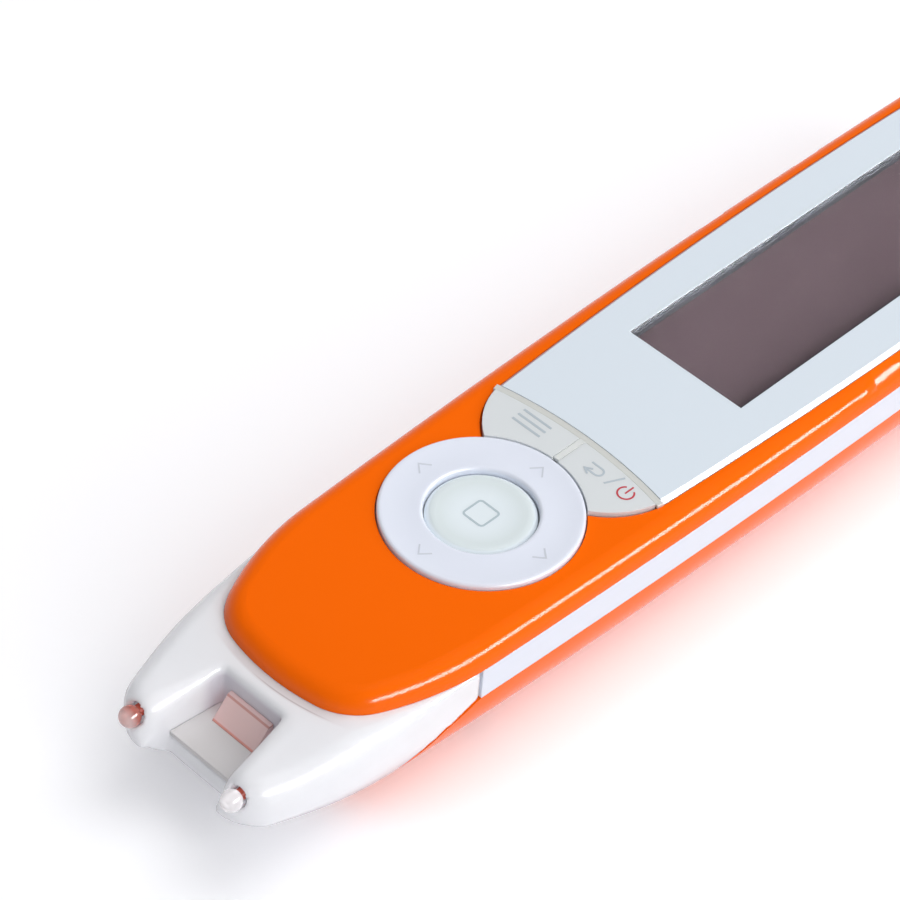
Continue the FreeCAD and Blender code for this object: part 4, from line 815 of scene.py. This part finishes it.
on_top = (nose_axes["Z"], 14.4, 17.0, 0.3)
in_cover_shade = (from_rim, rim_radius - cover_shade_width, rim_radius, 0.3)
on_shadow_line = (from_rim, rim_radius - shadow_line_half, rim_radius + shadow_line_half, 0.06)
in_gap_shade = (nose_axes["X"], gap_back_x - 1.6, gap_back_x + 0.4, 1.6)
# Painted shade and orange reflection in a band ahead of the cover's front edge.
overlay(nose_pearl, region(tree, cover_shade_strength, in_cover_shade, on_top, (nose_axes["Y"], -7.0, 5.0, 4.0)),
        (0.66, 0.58, 0.58))
# Painted shadow line along the band's outer edge.
overlay(nose_pearl, region(tree, shadow_line_strength, on_shadow_line, on_top, (nose_axes["Y"], -6.0, -1.0, 3.0)),
        (0.40, 0.33, 0.34))
# Painted shade on the back wall of the gap.
overlay(nose_pearl, region(tree, gap_shade_strength, in_gap_shade, (nose_axes["Y"], -4.7, 4.7, 0.3),
                           (nose_axes["Z"], 10.0, 14.2, 0.7)), (0.60, 0.57, 0.65))

# Seen edge-on, the clear wall is looked through lengthwise and turns a lavender brown.
edge_start = 0.66
edge_strength = 0.9
edge_on = tree.nodes.new("ShaderNodeLayerWeight")
edge_on.inputs["Blend"].default_value = 0.5
depth = ranged(tree, edge_on.outputs["Facing"], edge_start, 1.0, 0.0, edge_strength)
overlay(nose_pearl, depth, (0.52, 0.44, 0.48))

# Key frame and pad: a pale grey rubber-faced plate whose rib shows in the groove between the keys and
# the panel, and the rubber ring under the navigation ring. Clear crowns moulded on the rib fill the
# groove and the gap between the keys nearly to the top.
dress(moulded("rib_grey", (0.66, 0.66, 0.62), 0.4, grain=0.004), "key_frame")
dress(moulded("pad_rubber", (0.60, 0.61, 0.58), 0.6, grain=0.008), "nav_pad")
strip_sink = 0.06
sharpest_turn = 0.2


def strip(name, path, closed, width, height_at, look, body, rise=0.02):
    """Flat strip carried along a path in plan. Half the width is set off square to the path on both
    sides, divided at a corner by the cosine of half its turn. The top stands the rise above the
    surface."""
    path = np.asarray(path, float)
    if closed:
        step = np.roll(path, -1, 0) - np.roll(path, 1, 0)
        legs = np.roll(path, -1, 0) - path
    else:
        step = np.gradient(path, axis=0)
        legs = np.diff(path, axis=0)
    step /= np.linalg.norm(step, axis=1)[:, None]
    legs /= np.linalg.norm(legs, axis=1)[:, None]
    turn = np.ones(len(path))
    if closed:
        turn = (legs * np.roll(legs, 1, 0)).sum(1)
    else:
        turn[1:-1] = (legs[1:] * legs[:-1]).sum(1)
    mitre = np.sqrt(2 / np.maximum(1 + turn, sharpest_turn))[:, None]
    aside = np.stack((-step[:, 1], step[:, 0]), 1) * width / 2 * mitre
    rows = []
    for sign, level in ((-1, rise), (1, rise), (1, -strip_sink), (-1, -strip_sink)):
        plan = path + aside * sign
        rows.append(np.column_stack((plan, height_at(plan[:, 0], plan[:, 1]) + level)))
    points = np.stack(rows, 1).reshape(-1, 3)
    count = len(path)
    start = np.arange(count if closed else count - 1)
    after = (start + 1) % count
    faces = []
    for i in range(4):
        j = (i + 1) % 4
        faces.append(np.stack((start * 4 + i, after * 4 + i, after * 4 + j, start * 4 + j), 1))
    if not closed:
        faces.append(np.array([(0, 1, 2, 3)]))
        faces.append(np.array([(3, 2, 1, 0)]) + 4 * (count - 1))
    made = piece(name, points, np.concatenate(faces), look, smooth=False)
    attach(made, body)
    return made


groove_middle_x = ring_x + 17.0 - 60.0
groove_middle_radius = 59.56
groove_half_width = 12.68
groove_reach = math.asin(groove_half_width / groove_middle_radius)
angle = np.linspace(-groove_reach, groove_reach, 40)
groove_path = np.column_stack((groove_middle_x + groove_middle_radius * np.cos(angle),
                               groove_middle_radius * np.sin(angle)))
divider_path = [(ring_x + 11.85 + 0.485 * i, 0.0) for i in range(10)]
rib_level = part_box("key_frame")[1].z / mm


def rib_height(x, y):
    """The rib's flat top."""
    return np.full(np.shape(x), rib_level)


crown_clear = moulded("crown_clear", (0.655, 0.665, 0.635), 0.3, mottle=0.008, milky=0.3, shine=0.4,
                      clouds=300.0)
divider_clear = moulded("divider_clear", (0.76, 0.785, 0.77), 0.3, mottle=0.008, milky=0.3, shine=0.4)
for name, path, width, look, rise in (("groove_crown", groove_path, 0.86, crown_clear, 0.40),
                                      ("divider_crown", divider_path, 0.82, divider_clear, 0.42)):
    crown = strip(name, path, False, width, rib_height, look, "case", rise)
    rounding = crown.modifiers.new("rounding", "BEVEL")
    rounding.width = 0.06 * mm
    rounding.segments = 2


# Navigation ring: a white ABS ring with a shallow dish, held under the cover by its flange, with four
# cored pegs that rock on the pad. Four pale printed arrowheads show which way each side of it moves.
def turned_piece(profile, centre, segments):
    """Points and faces of a closed profile of radius and height, carried round an upright axis. A point
    of the profile on the axis is one point of the piece, and the side along the axis has no faces."""
    profile = np.asarray(profile)
    count = len(profile)
    angle = np.arange(segments)[:, None] * 2 * math.pi / segments
    points = np.stack((centre[0] + profile[:, 0] * np.cos(angle),
                       centre[1] + profile[:, 0] * np.sin(angle),
                       profile[:, 1] + 0 * angle), 2).reshape(-1, 3)
    here = np.arange(segments)[:, None] * count + np.arange(count)
    here = np.where(profile[:, 0] == 0, np.arange(count), here)
    ahead = np.roll(here, -1, 0)
    quads = np.stack((here, np.roll(here, -1, 1), np.roll(ahead, -1, 1), ahead), 2).reshape(-1, 4)
    faces = [list(dict.fromkeys(quad)) for quad in quads.tolist()]
    faces = [face for face in faces if len(face) > 2]
    used = sorted({corner for face in faces for corner in face})
    number = dict(zip(used, range(len(used))))
    return points[used], [[number[corner] for corner in face] for face in faces]


def quarter_round(centre, radius, start):
    """Quarter circle of a profile, from a start angle in degrees, turning clockwise."""
    angle = np.radians(start - np.linspace(0, 90, 7))
    return [(centre[0] + radius * math.cos(a), centre[1] + radius * math.sin(a)) for a in angle]


def ink(name, colour):
    """Printed ink: nearly flat colour with a little mottle and the grain of a screen."""
    return moulded(name, colour, 0.4, mottle=0.04, grain=0.002, edge=0.0, shine=0.3)


sharp_angle = math.radians(35)
ring_top = ring_centre.z / mm
ring_outer, ring_hole, ring_flange = 11.5, 6.42, 12.3
ring_under = ring_top - 1.4
ring_round = 0.4
ring_skirt = 1.1
ring_rims = (ring_hole + ring_round, 8.93, ring_outer - ring_round)
ring_rim_drops = (-0.10, -0.17, 0.0)
flange_low = ring_low.z / mm
flange_high = flange_low + 0.6
peg_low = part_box("nav_pad")[1].z / mm + 0.45
peg_high = ring_under + 0.2
peg_core, peg_radius = 0.25, 0.8
peg_reach = 8.9
ring_segments, peg_segments = 144, 24
dish = np.polyfit(ring_rims, ring_rim_drops, 2)


def ring_height(x, y):
    """Parabola through the dish's inner rim, its lowest circle and its outer rim."""
    return ring_top + np.polyval(dish, np.hypot(x - ring_x, y))


dish_radii = np.linspace(ring_rims[0], ring_rims[2], 16)[1:-1]
ring_profile = [
    (ring_hole, ring_under),
    *quarter_round((ring_rims[0], ring_top + ring_rim_drops[0] - ring_round), ring_round, 180),
    *zip(dish_radii, ring_height(ring_x + dish_radii, 0.0)),
    *quarter_round((ring_rims[2], ring_top - ring_round), ring_round, 90),
    (ring_outer, flange_high), (ring_flange, flange_high), (ring_flange, flange_low),
    (ring_outer - ring_skirt, flange_low), (ring_outer - ring_skirt, ring_under),
]
peg_profile = [(peg_core, peg_low), (peg_core, peg_high), (peg_radius, peg_high), (peg_radius, peg_low)]
ring_points, ring_faces = turned_piece(ring_profile, (ring_x, 0.0), ring_segments)
for way_x, way_y in ((1, 0), (0, 1), (-1, 0), (0, -1)):
    peg_middle = (ring_x + peg_reach * way_x, peg_reach * way_y)
    points, faces = turned_piece(peg_profile, peg_middle, peg_segments)
    ring_faces += [[corner + len(ring_points) for corner in face] for face in faces]
    ring_points = np.concatenate((ring_points, points))
ring_white = moulded("ring_white", (0.785, 0.820, 0.920), 0.24, mottle=0.003, grain=0.0008, edge=0.0,
                     shine=0.4, milky=0.15, clouds=300.0)
ring_piece = piece("ring_face", ring_points, ring_faces, ring_white)
keep_edges = ring_piece.modifiers.new("keep_edges", "EDGE_SPLIT")
keep_edges.split_angle = sharp_angle
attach(ring_piece, "ring")
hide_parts("nav_ring")
arrow_ink = ink("arrow_ink", (0.60, 0.63, 0.70))
arrow_tip = 9.75
arrow_back = 1.15
arrow_side = 0.95
arrow_line = 0.19
for name, forward in (("ahead", (1, 0)), ("back", (-1, 0)), ("left", (0, 1)), ("right", (0, -1))):
    out_way = np.array(forward, float)
    side_way = np.array((-forward[1], forward[0]), float)
    legs = [(ring_x, 0.0) + out_way * (arrow_tip - arrow_back * abs(t)) + side_way * arrow_side * t
            for t in np.linspace(-1, 1, 9)]
    strip("ring_arrow_" + name, legs, False, arrow_line, ring_height, arrow_ink, "ring")

# OK button: a milky round cap with a shallow dish, moulded in the same plastic as the keys, with a
# rounded square printed in its middle.
ok_low, ok_level = (corner.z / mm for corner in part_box("ok_button"))
ok_dish_radius = 5.5
ok_dish = 0.2
ok_outer, ok_flange, ok_stem = 6.26, 7.2, 1.5
ok_under, ok_shoulder = ok_level - 1.85, ok_level - 1.35
ok_rounding = ((5.72, 0.07), (5.95, 0.22), (6.14, 0.38), (ok_outer, 0.55))
ok_segments = 96
lit_low, lit_high, lit_soft = ok_level - 0.6, ok_level - 0.16, 0.1
square_side, square_round, square_line = 2.95, 0.42, 0.25


def ok_height(x, y):
    """Dish that rises with the square of the distance from the middle."""
    return ok_level - ok_dish * (1 - ((x - ring_x) ** 2 + y ** 2) / ok_dish_radius ** 2)


def round_square(centre, side, radius, spread=6):
    """Square with its sides along the axes and its corners rounded."""
    angle = np.linspace(0, math.pi / 2, spread)
    turns = [np.column_stack((np.cos(angle + quarter), np.sin(angle + quarter))) * radius
             + (side / 2 - radius) * np.round((math.cos(quarter) - math.sin(quarter),
                                               math.cos(quarter) + math.sin(quarter)))
             for quarter in np.arange(4) * math.pi / 2]
    return np.concatenate(turns) + centre


dish_radii = np.linspace(0.0, ok_dish_radius, 12)[1:]
ok_profile = [
    (0.0, ok_low), (0.0, ok_level - ok_dish),
    *zip(dish_radii, ok_height(ring_x + dish_radii, 0.0)),
    *[(radius, ok_level - drop) for radius, drop in ok_rounding],
    (ok_outer, ok_shoulder), (ok_flange, ok_shoulder), (ok_flange, ok_under), (ok_stem, ok_under),
    (ok_stem, ok_low),
]
ok_milk = moulded("ok_milk", (0.725, 0.795, 0.810), 0.25, mottle=0.003, edge=0.0, shine=0.4, milky=0.2,
                  clouds=300.0)
# Painted light: the cap is painted lighter from 0.16 to 0.6 mm below its top, in its dish's middle and on
# its rounded rim.
lit_share = within(ok_milk.node_tree, axes(ok_milk)["Z"], lit_low * mm, lit_high * mm, lit_soft * mm)
overlay(ok_milk, lit_share, (0.80, 0.87, 0.91))
ok_points, ok_faces = turned_piece(ok_profile, (ring_x, 0.0), ok_segments)
ok_piece = piece("ok_face", ok_points, ok_faces, ok_milk)
ok_edges = ok_piece.modifiers.new("keep_edges", "EDGE_SPLIT")
ok_edges.split_angle = sharp_angle
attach(ok_piece, "ok")
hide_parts("ok_button")
mark_ink = ink("mark_ink", (0.46, 0.545, 0.59))
ok_square = round_square((ring_x, 0.0), square_side, square_round)
strip("ok_square", ok_square, True, square_line, ok_height, mark_ink, "ok")

# Keys: two milky translucent caps between the ring and the groove. The far one is marked with three
# bars, the near one with a return arrow, a stroke and a red power sign.
key_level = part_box("menu_key")[1].z / mm


def key_height(x, y):
    """The keys' flat top."""
    return np.full(np.shape(x), key_level)


def circle_path(centre, radius, start, end, count):
    """Points of an arc between two angles in degrees, from the +X axis towards +Y."""
    angle = np.radians(np.linspace(start, end, count))
    return np.column_stack((centre[0] + radius * np.cos(angle), centre[1] + radius * np.sin(angle)))


dress(moulded("key_milk", (0.715, 0.745, 0.760), 0.26, mottle=0.003, shine=0.4, milky=0.25, clouds=300.0),
      "menu_key", "power_key")
key_ink = ink("key_ink", (0.47, 0.53, 0.58))
red_ink = ink("red_ink", (0.55, 0.06, 0.08))
bars_x, bars_y, bar_half, bar_gap, bar_line = ring_x + 13.9, 5.7, 2.1, 0.95, 0.30
for i in (-1, 0, 1):
    bar = [(bars_x + i * bar_gap, bars_y + end * bar_half) for end in (-1, 0, 1)]
    strip(f"menu_bar_{i + 2}", bar, False, bar_line, key_height, key_ink, "menu")
hook_x, hook_y, hook_radius, hook_length, sign_line = ring_x + 13.8, -4.6, 0.62, 1.5, 0.24
hook = np.concatenate((
    [(hook_x + hook_radius, hook_y + hook_length)],
    circle_path((hook_x, hook_y), hook_radius, 0, -180, 14),
    [(hook_x - hook_radius, hook_y + hook_length * 0.8)],
))
strip("return_hook", hook, False, sign_line, key_height, key_ink, "power")
barb_x, barb_half, barb_foot, barb_line = hook_x - hook_radius, 0.5, hook_y + hook_length * 0.45, 0.22
barb = [(barb_x - barb_half, barb_foot), (barb_x, hook_y + hook_length), (barb_x + barb_half, barb_foot)]
strip("return_barb", barb, False, barb_line, key_height, key_ink, "power", 0.03)
stroke_x, stroke_y, stroke_run, stroke_fall = ring_x + 14.1, -6.75, 1.15, 0.55
stroke = [(stroke_x + i * stroke_run, stroke_y - i * stroke_fall) for i in (-1, 0, 1)]
strip("key_stroke", stroke, False, sign_line, key_height, key_ink, "power")
power_place, power_radius, ring_line, rod_line = (ring_x + 13.6, -8.9), 0.95, 0.22, 0.20
power_ring = circle_path(power_place, power_radius, 35, 325, 30)
power_line = [(power_place[0] + along, power_place[1]) for along in (-0.1, 0.6, 1.3)]
strip("power_ring", power_ring, False, ring_line, key_height, red_ink, "power")
strip("power_line", power_line, False, rod_line, key_height, red_ink, "power")

# Top cover: the upper shell in the same glossy orange ABS, with the ring's hole and the sunk deck that
# carries the panel and the keys.
dress(orange_gloss, "top_cover")
